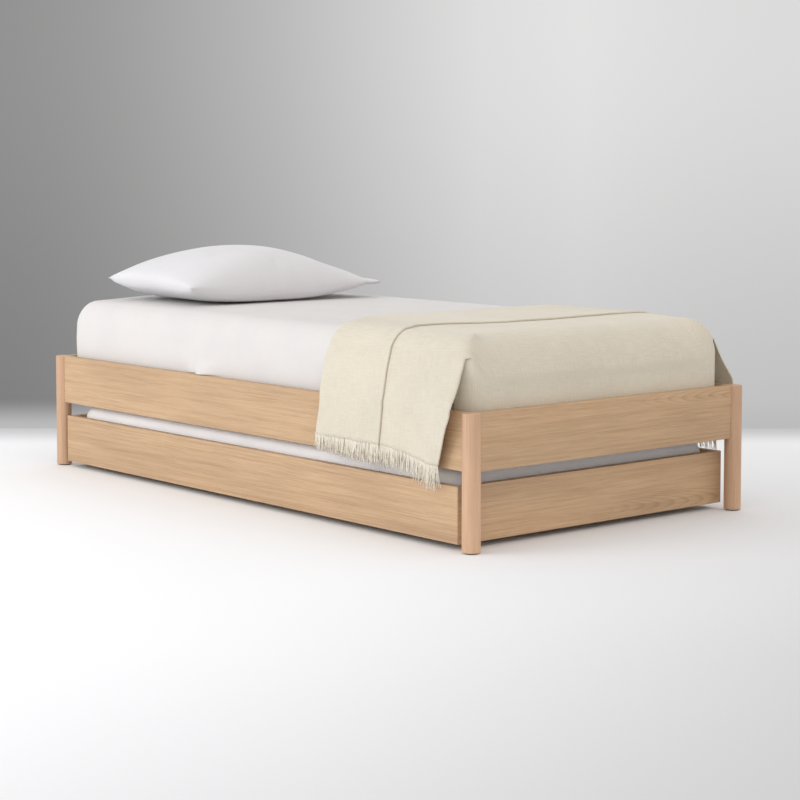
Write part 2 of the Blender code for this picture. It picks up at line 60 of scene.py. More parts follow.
SIDES = ("front", "back")
X, Y, Z = 0, 1, 2

# ---- Places that the frame gives ----
RAIL_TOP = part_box("side_rail_front")[1].z
RAIL_OUTER_Y = -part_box("side_rail_front")[0].y
SHEET_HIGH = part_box("fitted_sheet")[1]
PILLOW_LOW, PILLOW_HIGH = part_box("pillowcase")

# ---- Camera and light ----
CAMERA_PLACE = (4.6825, -3.8594, 0.9791)
CAMERA_TURN = (math.radians(85.971), 0.0, math.radians(49.80))
CAMERA_LENS = 91.33
CAMERA_SHIFT_Y = -0.1215
WORLD_STRENGTH = 0.98
WORLD_LEFT, WORLD_RIGHT = (0.74, 0.75, 0.765), (1.03, 0.965, 0.915)  # tint of the light from -X and +X
KEY_PLACE, KEY_AIM = (-1.1, -4.3, 1.9), (0.0, 0.0, 0.3)
KEY_SIZE = (2.6, 1.8)
KEY_POWER = 66.0
BACKDROP_DISTANCE = 1.30
BACKDROP_SIZE = (14.0, 6.0)

# ---- Bedding ----
MATTRESS_EDGE = (0.060, 0.075)  # rounding of the top edge: inwards, downwards
MATTRESS_FOOT_EDGE = (0.140, 0.122)  # the same at the foot end, under the throw
TRUNDLE_EDGE = (0.034, 0.040)
CORNER_REACH = 0.075  # how far in from a corner its rounding in plan begins
CORNER_POWER, FOOT_CORNER_POWER = 4.0, 5.2  # a higher power makes a squarer corner
BOTTOM_ROUNDING = 0.012
HEM_TURNED_UNDER = 0.050
CORE_INSET = 0.0015  # how far a mattress's cover lies inside its CAD solid
COTTON_THICKNESS = 0.0012


# ==== node graphs ====
class Nodes:
    """A node tree, and short ways to add to it."""

    def __init__(self, owner):
        owner.use_nodes = True
        self.tree = owner.node_tree

    def add(self, kind, settings=(), **inputs):
        node = self.tree.nodes.new("ShaderNode" + kind)
        for key, value in dict(settings).items():
            setattr(node, key, value)
        for key, value in inputs.items():
            self.feed(node.inputs[key.replace("_", " ")], value)
        return node

    def feed(self, socket, value):
        if isinstance(value, bpy.types.NodeSocket):
            self.tree.links.new(value, socket)
        else:
            socket.default_value = value

    def object_point(self):
        return self.add("TexCoord").outputs["Object"]

    def cloth_point(self):
        """Where a point lies on its flat cloth, in metres."""
        return self.add("Attribute", {"attribute_name": "cloth"}).outputs["Vector"]

    def split(self, vector):
        node = self.add("SeparateXYZ", Vector=vector)
        return [node.outputs[k] for k in "XYZ"]

    def join(self, x, y, z):
        return self.add("CombineXYZ", X=x, Y=y, Z=z).outputs[0]

    def math(self, operation, a, b=0.0):
        node = self.add("Math", {"operation": operation})
        self.feed(node.inputs[0], a)
        self.feed(node.inputs[1], b)
        return node.outputs[0]

    def times(self, a, b):
        return self.math("MULTIPLY", a, b)

    def plus(self, a, b):
        return self.math("ADD", a, b)

    def minus(self, a, b):
        return self.math("SUBTRACT", a, b)

    def scaled(self, vector, scale, shift=(0.0, 0.0, 0.0)):
        node = self.add("VectorMath", {"operation": "MULTIPLY_ADD"})
        self.feed(node.inputs[0], vector)
        self.feed(node.inputs[1], scale)
        self.feed(node.inputs[2], shift)
        return node.outputs[0]

    def noise(self, vector, scale=1.0, detail=2.0, roughness=0.5):
        node = self.add("TexNoise", Vector=vector, Scale=scale, Detail=detail, Roughness=roughness)
        return node.outputs["Fac"]

    def remap(self, value, low, high, to_low=0.0, to_high=1.0):
        """to_low below low, to_high above high, and smooth between them."""
        node = self.add("MapRange", {"interpolation_type": "SMOOTHSTEP"}, Value=value,
                        From_Min=low, From_Max=high, To_Min=to_low, To_Max=to_high)
        return node.outputs[0]

    def blend(self, share, a, b):
        """Colour a where share is 0, and colour b where it is 1."""
        node = self.add("Mix", {"data_type": "RGBA"})
        for socket, value in zip((node.inputs[0], node.inputs[6], node.inputs[7]), (share, a, b)):
            self.feed(socket, value)
        return node.outputs[2]

    def tint(self, colour, value):
        """A colour, made lighter or darker by a factor that varies."""
        node = self.add("VectorMath", {"operation": "SCALE"})
        self.feed(node.inputs[0], colour)
        self.feed(node.inputs["Scale"], value)
        return node.outputs[0]

    def ramp(self, value, stops):
        """A colour that changes with value, through stops of (place, colour)."""
        node = self.add("ValToRGB", Fac=value)
        elements = node.color_ramp.elements
        while len(elements) < len(stops):
            elements.new(0.5)
        for element, (place, colour) in zip(elements, stops):
            element.position = place
            element.color = colour
        return node.outputs["Color"]

    def bump(self, height, distance, strength=1.0, under=None):
        node = self.add("Bump", Height=height, Distance=distance, Strength=strength)
        if under is not None:
            self.feed(node.inputs["Normal"], under)
        return node.outputs[0]


class Finish(Nodes):
    """A Principled material."""

    def __init__(self, name, roughness, **fixed):
        self.material = bpy.data.materials.new(name)
        super().__init__(self.material)
        self.shader = self.tree.nodes["Principled BSDF"]
        self.set("Roughness", roughness)
        for key, value in fixed.items():
            self.set(key.replace("_", " "), value)

    def set(self, name, value):
        self.feed(self.shader.inputs[name], value)

    def done(self, colour, normal):
        self.set("Base Color", colour)
        self.set("Normal", normal)
        return self.material


def rgb(red, green, blue):
    return (red, green, blue, 1.0)


# ==== hard materials ====
# light, middle and dark tones
OAK = rgb(0.60, 0.41, 0.25), rgb(0.50, 0.33, 0.192), rgb(0.33, 0.20, 0.105)
POST_OAK = rgb(0.66, 0.435, 0.285), rgb(0.585, 0.37, 0.235), rgb(0.45, 0.27, 0.16)
PINE = rgb(0.72, 0.56, 0.38), rgb(0.64, 0.47, 0.30), rgb(0.50, 0.33, 0.19)
RING_WAVER = 0.060  # how far the year rings wander
PLY = 0.0014  # thickness of a veneer in the plywood
HUB_RADIUS = 0.015  # where a caster wheel's rubber tread begins


def wood(name, along, across, seed, colours, pith, ring=0.005, tilt=0.0, roughness=0.5,
         arches=0.20, arches_from=None):
    """Wood cut from a log: along and across are axes, and pith says where the log's heart ran.

    pith is its distance across and behind the board, ring the width of a year, and tilt how fast
    the heart comes nearer along the board, which turns straight grain into arches.
    """
    light, mid, dark = colours
    f = Finish(name, roughness, Specular_IOR_Level=0.42)
    axes = (along, across, 3 - along - across)
    plain = f.split(f.object_point())
    shifted = f.split(f.scaled(f.object_point(), (1.0, 1.0, 1.0), (seed, seed * 0.7, seed * 0.3)))
    u, v, w = (plain[k] for k in axes)

    def drawn_out(fineness, detail, softness=0.5):
        """Noise drawn out along the board; its fineness is per metre along, across and into it."""
        point = f.join(*(f.times(shifted[k], per_metre) for k, per_metre in zip(axes, fineness)))
        return f.noise(point, 1.0, detail, softness)

    waver = f.times(f.minus(drawn_out((1.6, 7.0, 1.0), 3.0), 0.5), RING_WAVER)
    dv = f.plus(f.minus(v, pith[0]), waver)
    dw = f.minus(w, f.plus(f.times(u, tilt), pith[1]))
    squares = f.plus(f.times(dv, dv), f.times(dw, dw))
    year = f.math("FRACT", f.math("DIVIDE", f.math("SQRT", squares), ring))
    late = f.times(f.remap(year, 0.35, 0.92), f.remap(year, 1.0, 0.93))
    fibre = drawn_out((9.0, 420.0, 420.0), 2.0, 0.6)
    streak = drawn_out((2.2, 95.0, 95.0), 3.0, 0.65)
    patch = drawn_out((2.0, 9.0, 1.0), 1.0)
    fleck = f.remap(drawn_out((42.0, 900.0, 900.0), 1.0), 0.62, 0.74)
    if arches_from is not None:
        arches = f.remap(u, *arches_from, 0.05, arches)
    share = f.plus(f.times(late, arches), f.remap(streak, 0.40, 0.72, 0.0, 0.34))
    share = f.plus(share, f.times(fleck, 0.25))
    colour = f.blend(share, f.blend(f.remap(fibre, 0.25, 0.75), light, mid), dark)
    f.set("Roughness", f.remap(streak, 0.3, 0.7, roughness - 0.06, roughness + 0.10))
    grain = f.minus(f.times(late, 0.5), f.plus(fleck, fibre))
    return f.done(f.tint(colour, f.remap(patch, 0.3, 0.7, 0.93, 1.08)), f.bump(grain, 0.00025, 0.55))


def plywood():
    """Birch veneer on its faces, and the plies on its edges."""
    f = Finish("birch_plywood", 0.6)
    point = f.object_point()
    figure = f.noise(f.scaled(point, (1.5, 14.0, 1.0)), 1.0, 4.0, 0.6)
    fibre = f.noise(f.scaled(point, (12.0, 400.0, 1.0)))
    face = f.blend(f.remap(figure, 0.3, 0.7), rgb(0.68, 0.52, 0.35), rgb(0.55, 0.38, 0.23))
    face = f.blend(f.remap(fibre, 0.3, 0.8, 0.0, 0.4), face, rgb(0.48, 0.32, 0.19))
    ply = f.remap(f.math("PINGPONG", f.split(point)[Z], PLY), 0.0004, 0.0010)
    edge = f.blend(ply, rgb(0.42, 0.27, 0.15), rgb(0.66, 0.49, 0.31))
    up = f.math("ABSOLUTE", f.split(f.add("NewGeometry").outputs["Normal"])[Z])
    return f.done(f.blend(f.remap(up, 0.4, 0.6), edge, face), f.bump(fibre, 0.0002, 0.4))


def zinc_steel():
    """Zinc-plated pressed steel, with faint spangle and rolling lines."""
    f = Finish("zinc_steel", 0.38, Metallic=1.0)
    point = f.object_point()
    spangle = f.add("TexVoronoi", Vector=point, Scale=260.0).outputs["Distance"]
    lines = f.noise(f.scaled(point, (900.0, 60.0, 60.0)))
    stain = f.noise(point, 45.0, 4.0, 0.65)
    colour = f.blend(f.remap(stain, 0.35, 0.75), rgb(0.58, 0.59, 0.60), rgb(0.36, 0.36, 0.36))
    f.set("Roughness", f.remap(stain, 0.3, 0.8, 0.28, 0.55))
    return f.done(f.tint(colour, f.remap(spangle, 0.0, 0.6, 0.92, 1.08)), f.bump(lines, 0.0001, 0.35))


def black_plastic():
    """Moulded black plastic, scuffed grey where it slides."""
    f = Finish("black_plastic", 0.5)
    point = f.object_point()
    grain = f.noise(point, 1600.0)
    scuff = f.noise(point, 160.0, 4.0, 0.7)
    clean, worn = rgb(0.022, 0.022, 0.023), rgb(0.10, 0.10, 0.10)
    f.set("Roughness", f.remap(scuff, 0.4, 0.8, 0.42, 0.7))
    return f.done(f.blend(f.remap(scuff, 0.58, 0.80), clean, worn), f.bump(grain, 0.0001, 0.4))


def wheel_rubber(name, centre):
    """Grey rubber tread round a darker moulded hub."""
    f = Finish(name, 0.65)
    _, y, z = f.split(f.scaled(f.object_point(), (1.0, 1.0, 1.0), tuple(-c for c in centre)))
    radius = f.math("SQRT", f.plus(f.times(y, y), f.times(z, z)))
    dust = f.noise(f.object_point(), 220.0, 4.0, 0.7)
    tread = f.blend(f.remap(dust, 0.35, 0.75), rgb(0.10, 0.10, 0.105), rgb(0.19, 0.185, 0.18))
    outside = f.remap(radius, HUB_RADIUS - 0.0005, HUB_RADIUS + 0.0005)
    colour = f.blend(outside, rgb(0.035, 0.035, 0.037), tread)
    ring = f.remap(f.math("ABSOLUTE", f.minus(radius, HUB_RADIUS)), 0.0, 0.0008)
    return f.done(colour, f.bump(f.plus(ring, f.times(dust, 0.2)), 0.0006, 0.6))


# ==== cloth materials ====
def weave_height(f, pitch, slub=0.25):
    """A plain weave, over and under, with threads that vary a little."""
    point = f.cloth_point()
    u, v, _ = f.split(point)
    turn = 2 * math.pi / pitch
    warp = f.math("SINE", f.times(u, turn))
    weft = f.math("SINE", f.times(v, turn))
    uneven = f.noise(f.scaled(point, (260.0, 40.0, 1.0)))
    return f.plus(f.times(warp, weft), f.times(uneven, slub))


def cotton(name, colour, shade):
    """White percale: a fine plain weave with a soft sheen and faint pressing creases."""
    f = Finish(name, 0.85, Sheen_Weight=0.12, Sheen_Roughness=0.5, Specular_IOR_Level=0.2)
    point = f.cloth_point()
    cloud = f.noise(point, 7.0, 3.0, 0.55)
    thread = f.noise(f.scaled(point, (900.0, 120.0, 1.0)))
    tone = f.blend(f.remap(cloud, 0.35, 0.68), colour, shade)
    tone = f.tint(tone, f.remap(thread, 0.3, 0.7, 0.985, 1.015))
    crumple = f.bump(f.noise(point, 16.0, 3.0, 0.5), 0.004, 0.22)
    return f.done(tone, f.bump(weave_height(f, 0.0011), 0.00012, 0.5, crumple))


def wool():
    """Cream wool in a fine basket weave, nearly even in tone, with a soft fuzzy surface."""
    f = Finish("cream_wool", 0.92, Sheen_Weight=0.30, Sheen_Roughness=0.45, Specular_IOR_Level=0.2)
    point = f.cloth_point()
    lines_u = f.noise(f.scaled(point, (420.0, 22.0, 0.0)))
    lines_v = f.noise(f.scaled(point, (22.0, 420.0, 0.0)))
    cross = f.times(f.plus(lines_u, lines_v), 0.5)
    cloud = f.noise(point, 5.0, 3.0, 0.5)
    tone = f.blend(f.remap(cross, 0.36, 0.64), rgb(0.655, 0.600, 0.490), rgb(0.715, 0.665, 0.555))
    tone = f.tint(tone, f.remap(cloud, 0.3, 0.7, 0.975, 1.02))
    fuzz = f.noise(f.object_point(), 1100.0)
    soft = f.bump(cross, 0.0004, 0.35)
    height = f.plus(weave_height(f, 0.0030, 0.5), f.times(fuzz, 0.8))
    return f.done(tone, f.bump(height, 0.00035, 0.45, soft))


def yarn():
    """The throw's twisted fringe yarn, painted lighter than the throw's wool to lift the shade between its
    thin strands.
    """
    f = Finish("cream_yarn_painted_light", 0.95, Sheen_Weight=0.35, Specular_IOR_Level=0.2)
    point = f.object_point()
    twist = f.noise(f.scaled(point, (520.0, 520.0, 300.0)))
    # painted light: lighter than the throw's wool to offset the shade between the strands
    tone = f.blend(f.remap(twist, 0.3, 0.7), rgb(0.76, 0.71, 0.60), rgb(0.86, 0.81, 0.70))
    return f.done(tone, f.bump(twist, 0.0005, 0.6))


def ticking():
    """The mattresses' quilted cover: diamonds of stitching in an off-white knit, with painted shade that
    darkens each diamond towards its stitched hollows.
    """
    f = Finish("quilted_ticking", 0.88, Sheen_Weight=0.2)
    u, v, _ = f.split(f.cloth_point())
    rising = f.math("PINGPONG", f.plus(u, v), 0.045)
    falling = f.math("PINGPONG", f.minus(u, v), 0.045)
    pillow = f.times(f.remap(rising, 0.0, 0.030), f.remap(falling, 0.0, 0.030))
    knit = f.noise(f.cloth_point(), 700.0)
    # painted shade: each quilted diamond darkens towards its stitched hollows
    tone = f.blend(pillow, rgb(0.60, 0.59, 0.565), rgb(0.72, 0.71, 0.685))
    tone = f.tint(tone, f.remap(knit, 0.3, 0.7, 0.95, 1.04))
    quilt = f.bump(pillow, 0.006, 0.8)
    return f.done(tone, f.bump(knit, 0.0004, 0.5, quilt))


# ==== mesh helpers ====
class Surface:
    """Rows of points and the quads between them, with each point's place on the flat cloth."""

    def __init__(self):
        self.points, self.flat, self.faces = [], [], []

    def row(self, points, flat):
        start = len(self.points)
        self.points += [tuple(p) for p in points]
        self.flat += [tuple(p) for p in flat]
        return list(range(start, len(self.points)))

    def bridge(self, low, high, closed=False):
        count = len(low)
        for i in range(count if closed else count - 1):
            j = (i + 1) % count
            self.faces.append((low[i], high[i], high[j], low[j]))

    def grid(self, points, flat):
        rows = [self.row(p, f) for p, f in zip(points, flat)]
        for low, high in zip(rows, rows[1:]):
            self.bridge(low, high)
        return rows

    def build(self, name):
        mesh = bpy.data.meshes.new(name)
        mesh.from_pydata(self.points, [], self.faces)
        cloth = mesh.attributes.new("cloth", "FLOAT_VECTOR", "POINT")
        flat = np.zeros((len(self.points), 3), np.float32)
        flat[:, :2] = np.array(self.flat, np.float32)
        cloth.data.foreach_set("vector", flat.ravel())
        mesh.update()
        mesh.shade_smooth()
        obj = bpy.data.objects.new(name, mesh)
        bpy.context.collection.objects.link(obj)
        return obj


def apply_modifiers(obj):
    """Replace an object's mesh by what its modifiers make of it."""
    bpy.context.view_layer.update()
    graph = bpy.context.evaluated_depsgraph_get()
    mesh = bpy.data.meshes.new_from_object(obj.evaluated_get(graph), depsgraph=graph)
    obj.modifiers.clear()
    obj.data = mesh
    mesh.shade_smooth()
    return obj


def thicken(obj, thickness, offset=-1.0, group=""):
    solid = obj.modifiers.new("thickness", "SOLIDIFY")
    solid.thickness = thickness
    solid.offset = offset
    solid.use_even_offset = True
    solid.vertex_group = group
    return apply_modifiers(obj)


def finish_piece(obj, body, material, slot, *nodes):
    """Give a piece its material, tie it to its body, and hide the CAD nodes that it stands for."""
    obj.data.materials.clear()
    obj.data.materials.append(material)
    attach(obj, body)
    if nodes:
        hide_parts(*nodes)
    return obj


def ripple(points, scale, seed):
    """Smooth noise from -1 to 1 at each point; scale is per metre and may differ by axis."""
    flat = np.asarray(points).reshape(-1, 3) * np.asarray(scale, float) + seed
    values = [noise.noise(Vector(p)) for p in flat]
    return np.array(values).reshape(np.asarray(points).shape[:-1])


def stacked(*coordinates):
    """Points from their coordinates, each a grid of values or one number."""
    return np.stack(np.broadcast_arrays(*coordinates), axis=-1)


def hill(values, centre, width):
    """A smooth bump of height 1."""
    return np.exp(-(((values - centre) / width) ** 2))


def ease(values, low, high):
    """0 below low, 1 above high, and smooth between them."""
    t = np.clip((values - low) / (high - low), 0.0, 1.0)
    return t * t * (3 - 2 * t)


def graded(low, high, edge, fine, coarse):
    """Positions from low to high, closer together within edge of either end."""
    near = np.arange(low, low + edge, fine)
    far = np.arange(high, high - edge, -fine)[::-1]
    count = max(2, round((far[0] - near[-1]) / coarse))
    return np.concatenate([near, np.linspace(near[-1], far[0], count + 1)[1:-1], far])


# ==== mattresses and sheets ====
class SoftBlock:
    """The outside of a mattress: a flat top with soft edges and corners, and upright sides."""

    def __init__(self, node, edge, inset=0.0, foot_edge=None):
        low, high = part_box(node)
        self.middle_y = (low.y + high.y) / 2
        self.half_x = high.x - inset
        self.half_y = (high.y - low.y) / 2 - inset
        self.low, self.high = low.z + inset, high.z - inset
        self.edge, self.foot_edge = edge, foot_edge or edge
        self.edge_in, self.edge_down = edge

    def reach(self, x):
        """How far in from a corner its rounding in plan begins, which is further at the foot."""
        return np.where(x > 0, max(CORNER_REACH, self.foot_edge[0] + 0.002), CORNER_REACH)

    def depth(self, x, y):
        """How far inside the outline each point lies in plan, and the way out."""
        y, reach = y - self.middle_y, self.reach(x)
        ax = np.clip(reach - (self.half_x - np.abs(x)), 0.0, None)
        ay = np.clip(reach - (self.half_y - np.abs(y)), 0.0, None)
        rounder = (x > 0) & (self.foot_edge != self.edge)
        power = np.where(rounder, FOOT_CORNER_POWER, CORNER_POWER)
        size = np.maximum((ax**power + ay**power) ** (1 / power), 1e-9)
        nx = np.sign(x) * (ax / size) ** (power - 1)
        ny = np.sign(y) * (ay / size) ** (power - 1)
        length = np.maximum(np.hypot(nx, ny), 1e-9)
        return reach - size, nx / length, ny / length

    def outline_grid(self, x, y, inset=0.0):
        """Points of a plain grid, moved so that its border follows the rounded outline."""
        y = y - self.middle_y
        half_x, half_y = self.half_x - inset, self.half_y - inset
        border = (np.abs(x) > half_x - 1e-6) | (np.abs(y) > half_y - 1e-6)
        corner = np.maximum(0.55 * self.reach(x) - inset, 0.01)
        a = np.clip((np.abs(x) - half_x) / corner + 1, 0.0, 1.0)
        b = np.clip((np.abs(y) - half_y) / corner + 1, 0.0, 1.0)
        x = x + np.sign(x) * corner * a * (np.sqrt(1 - b * b / 2) - 1)
        y = y + np.sign(y) * corner * b * (np.sqrt(1 - a * a / 2) - 1) + self.middle_y
        for _ in range(4):
            d, nx, ny = self.depth(x, y)
            step = np.where(border, d - inset, 0.0)
            x, y = x + nx * step, y + ny * step
        return x, y

    def over_top(self, x, y, offset=0.0):
        """Points in plan, carried on to the top and its soft edge, then offset outwards."""
        d, nx, ny = self.depth(x, y)
        at_foot = np.clip(nx, 0.0, 1.0) ** 6
        edge_in = self.edge_in + (self.foot_edge[0] - self.edge_in) * at_foot
        edge_down = self.edge_down + (self.foot_edge[1] - self.edge_down) * at_foot
        turn = np.clip(d / edge_in, 0.0, 1.0) * math.pi / 2
        out = np.where(d < edge_in, d - edge_in * (1 - np.cos(turn)), 0.0)
        side, up = np.cos(turn) / edge_in, np.sin(turn) / edge_down
        size = np.hypot(side, up)
        normal = stacked(nx * side / size, ny * side / size, up / size)
        height = self.high - edge_down * (1 - np.sin(turn))
        point = stacked(x + nx * out, y + ny * out, height)
        return point + normal * np.asarray(offset)[..., None], normal


def around(grid):
    """The border of a grid of values, once round."""
    return np.concatenate([grid[:, 0], grid[-1, 1:], grid[-2::-1, -1], grid[0, -2:0:-1]])


def cloth_cup(name, block, relief, heights, fine=0.007, coarse=0.016, closed=False):
    """A cover pulled over a block: its top, its sides, and a hem or a whole face underneath."""
    half_y = block.half_y
    xs = graded(-block.half_x, block.half_x, block.edge_in, fine, coarse)
    ys = graded(block.middle_y - half_y, block.middle_y + half_y, block.edge_in, fine, coarse)
    grid = stacked(xs[:, None], ys)
    x, y = block.outline_grid(grid[..., 0], grid[..., 1])
    point, normal = block.over_top(x, y)
    surface = Surface()
    rows = surface.grid(point + normal * relief(point, normal)[..., None], grid)
    ring, out, flat = around(point), around(normal), around(grid)
    above = list(around(np.array(rows)))
    top_z = block.high - block.edge_down
    lower = (ring[:, Z] - block.low) / (top_z - block.low)  # below 1 where the edge is rounder

    def next_row(inset, z, above):
        place = ring - out * inset
        place[:, Z] = block.low + (z - block.low) * lower
        place = place + out * relief(place, out)[:, None]
        row = surface.row(place, flat + out[:, :2] * (top_z - z + inset))
        surface.bridge(above, row, closed=True)
        return row

    for z in heights:
        above = next_row(0.0, z, above)
    for share in (0.35, 0.7, 1.0):
        turn = share * math.pi / 2
        inset = BOTTOM_ROUNDING * (1 - math.cos(turn))
        above = next_row(inset, block.low + BOTTOM_ROUNDING * (1 - math.sin(turn)), above)
    under = np.array([surface.points[i] for i in above])
    shrink = np.array([1 - HEM_TURNED_UNDER / block.half_x, 1 - HEM_TURNED_UNDER / half_y, 1.0])
    middle = np.array([0.0, block.middle_y, 0.0])
    hem = surface.row((under - middle) * shrink + middle, flat * shrink[:2])
    surface.bridge(above, hem, closed=True)
    if closed:
        surface.faces.append(tuple(hem[::-1]))
    return surface.build(name)


SHEET_BELLY_Z = 0.405
SHEET_GATHER_X = -0.205  # where the front of the sheet laps over the rail
SHEET_TUCK_X = -0.270  # where the gather ends in a small tuck
SHEET_FULL_X = -0.905  # where the sheet stands fuller, near the head edge
SHEET_CREASES = (  # X, height and width of each upright crease
    (-0.83, 0.0010, 0.010),
    (-0.54, 0.0015, 0.008),
    (-0.215, 0.0018, 0.009),
    (0.12, 0.0008, 0.020),
)


def bed_sheet_relief(point, normal):
    """A slight belly over the rails, soft vertical creases, and one gather on the front rail."""
    x, y, z = (point[..., k] for k in (X, Y, Z))
    side = 1 - ease(normal[..., Z], 0.05, 0.8)
    front = ease(-normal[..., Y], 0.4, 0.9)
    bare = 1 - 0.8 * ease(x, 0.42, 0.52)  # flatter where the throw covers it
    total = 0.0032 * hill(z, SHEET_BELLY_Z, 0.045) * side * (1 - ease(x, 0.86, 0.93))
    total += 0.0012 * ripple(point, (2.4, 2.4, 6.0), 3.1) * bare
    total += 0.0009 * ripple(point, (16.0, 16.0, 5.0), 9.4) * (0.25 + side) * bare
    for place, height, width in SHEET_CREASES:
        total += height * hill(x + 0.12 * (z - 0.40), place, width) * front
    corners = hill(x, -SHEET_HIGH.x, 0.07) * side
    total += 0.0016 * corners * ripple(point, (55.0, 55.0, 9.0), 5.2)
    total = np.where(z < RAIL_TOP + 0.001, np.minimum(total, 0.0035), total)
    across = ease(y, -0.43, -0.20) * (1 - ease(y, 0.20, 0.43))
    total += 0.007 * hill(x, SHEET_FULL_X, 0.050) * across * (1 - side)
    near_rail = hill(z, RAIL_TOP + 0.004, 0.022) * front
    total -= 0.004 * hill(x, SHEET_TUCK_X + 0.022, 0.007) * near_rail
    lap = 0.029 * hill(x, SHEET_GATHER_X, 0.036) + 0.012 * hill(x, SHEET_TUCK_X, 0.014)
    return total + np.where(z > RAIL_TOP + 0.001, lap * near_rail, 0.0)


def trundle_sheet_relief(point, normal):
    """Faint unevenness, stronger on the sides."""
    side = 1 - ease(normal[..., Z], 0.05, 0.8)
    total = 0.0014 * ripple(point, (3.0, 3.0, 8.0), 7.7)
    return total + 0.0012 * ripple(point, (22.0, 22.0, 7.0), 2.5) * (0.3 + side)


def flat_relief(point, normal):
    """No relief, for the mattresses' covers."""
    return np.zeros(point.shape[:-1])


def make_bedding(prefix, body, edge, foot_edge, relief, heights, cotton_look, cover_look):
    """A mattress in its cover, and the fitted sheet stretched over it."""
    inner = SoftBlock(f"{prefix}mattress", edge, CORE_INSET, foot_edge)
    levels = np.linspace(inner.high - edge[1] - 0.02, inner.low + BOTTOM_ROUNDING + 0.004, 6)
    mattress = cloth_cup(f"{prefix}mattress_core", inner, flat_relief, levels, 0.02, 0.05, True)
    finish_piece(mattress, body, cover_look, "mattress_cover", f"{prefix}mattress")
    outer = SoftBlock(f"{prefix}fitted_sheet", edge, 0.0, foot_edge)
    sheet = cloth_cup(f"{prefix}sheet", outer, relief, heights)
    thicken(sheet, COTTON_THICKNESS)
    finish_piece(sheet, body, cotton_look, "white_cotton", f"{prefix}fitted_sheet")


# ==== pillow ====
PILLOW_FLAT = (0.50, 0.78)  # one face, across and along
PILLOW_STEPS = (40, 60)
PILLOW_DOME = 0.085  # half its height before it is inflated
PILLOW_SEAM_Z = 0.600
PILLOW_TAPER = (0.6, 0.9)  # how its height falls towards the front and back ends
PILLOW_DROOP = 0.020  # how much lower its seam lies at the back end
PILLOW_SLUMP = 0.024  # the same for the foot side, away from the back end
PILLOW_RISE = 0.004  # how much higher its crest is than the CAD's
PILLOW_SHIFT = 0.006  # how much nearer it lies to the head
PILLOW_PRESSED = 1.9  # how wide the flat part of its underside is
PILLOW_CORE_SCALE = np.array([0.985, 0.985, 0.955])  # its size inside the case, as a share
PILLOW_CORE_SHIFT = np.array([0.0, 0.006, 0.0])
PILLOW_SLEEVE = 0.045  # how far the open end of the case stands past the pillow
MOUTH_HALF = 0.012  # half the height of its open end
PRESSURE_FRAMES = 24
PILLOW_CLOTH = {
    "quality": 5,
    "mass": 0.3,
    "tension_stiffness": 40,
    "compression_stiffness": 40,
    "shear_stiffness": 16,
    "bending_stiffness": 5,
    "air_damping": 3,
    "use_pressure": True,
    "uniform_pressure_force": 1.0,
}


def pillow_layers():
    """The two layers of a closed envelope, lightly domed, as grids of points."""
    a = np.linspace(-1, 1, PILLOW_STEPS[0] + 1)[:, None]
    b = np.linspace(-1, 1, PILLOW_STEPS[1] + 1)[None, :]
    dome = (np.clip(1 - a**4, 0, 1) * np.clip(1 - b**6, 0, 1)) ** 0.5
    x = a * PILLOW_FLAT[0] / 2 * (1 - 0.05 * (1 - b**2))
    y = b * PILLOW_FLAT[1] / 2 * (1 - 0.03 * (1 - a**2))
    top = stacked(x, y, PILLOW_DOME * dome)
    return top, top * np.array([1.0, 1.0, -1.0])


def join_layers(name, top, bottom, open_end=False):
    """One surface from two grids: they share their borders, apart from an open far end."""
    surface = Surface()
    across = np.linspace(0, PILLOW_FLAT[0], top.shape[0])
    along = np.linspace(0, PILLOW_FLAT[1], top.shape[1])
    flat = stacked(across[:, None], along)
    upper = surface.grid(top, flat)
    stop = None if open_end else -1
    lower = [upper[0]]
    for i in range(1, len(upper) - 1):
        inner = surface.row(bottom[i][1:stop], flat[i][1:stop] + np.array([0.6, 0.0]))
        lower.append([upper[i][0]] + inner + ([] if open_end else [upper[i][-1]]))
    lower.append(upper[-1])
    for here, there in zip(lower, lower[1:]):
        surface.bridge(there, here)
    return surface.build(name), np.array(upper), np.array(lower)


def inflate(obj):
    """Fill a closed cloth envelope with air, and keep the shape that it takes."""
    cloth = obj.modifiers.new("inflate", "CLOTH")
    for name, value in PILLOW_CLOTH.items():
        setattr(cloth.settings, name, value)
    cloth.settings.effector_weights.gravity = 0.0
    cloth.point_cache.frame_end = PRESSURE_FRAMES
    scene = bpy.context.scene
    for step in range(1, PRESSURE_FRAMES + 1):
        scene.frame_set(step)
    apply_modifiers(obj)
    scene.frame_set(1)


def seam_height(x, y):
    """Height of the case's seam: x from -1 to 1 across the pillow, y from 0 to 1 along it."""
    slump = PILLOW_SLUMP * ease(x, -0.2, 1.0) * ease(y, -0.25, 0.28) * (1 - ease(y, 0.6, 1.0))
    return PILLOW_SEAM_Z - PILLOW_DROOP * ease(y, 0.5, 1.0) - slump


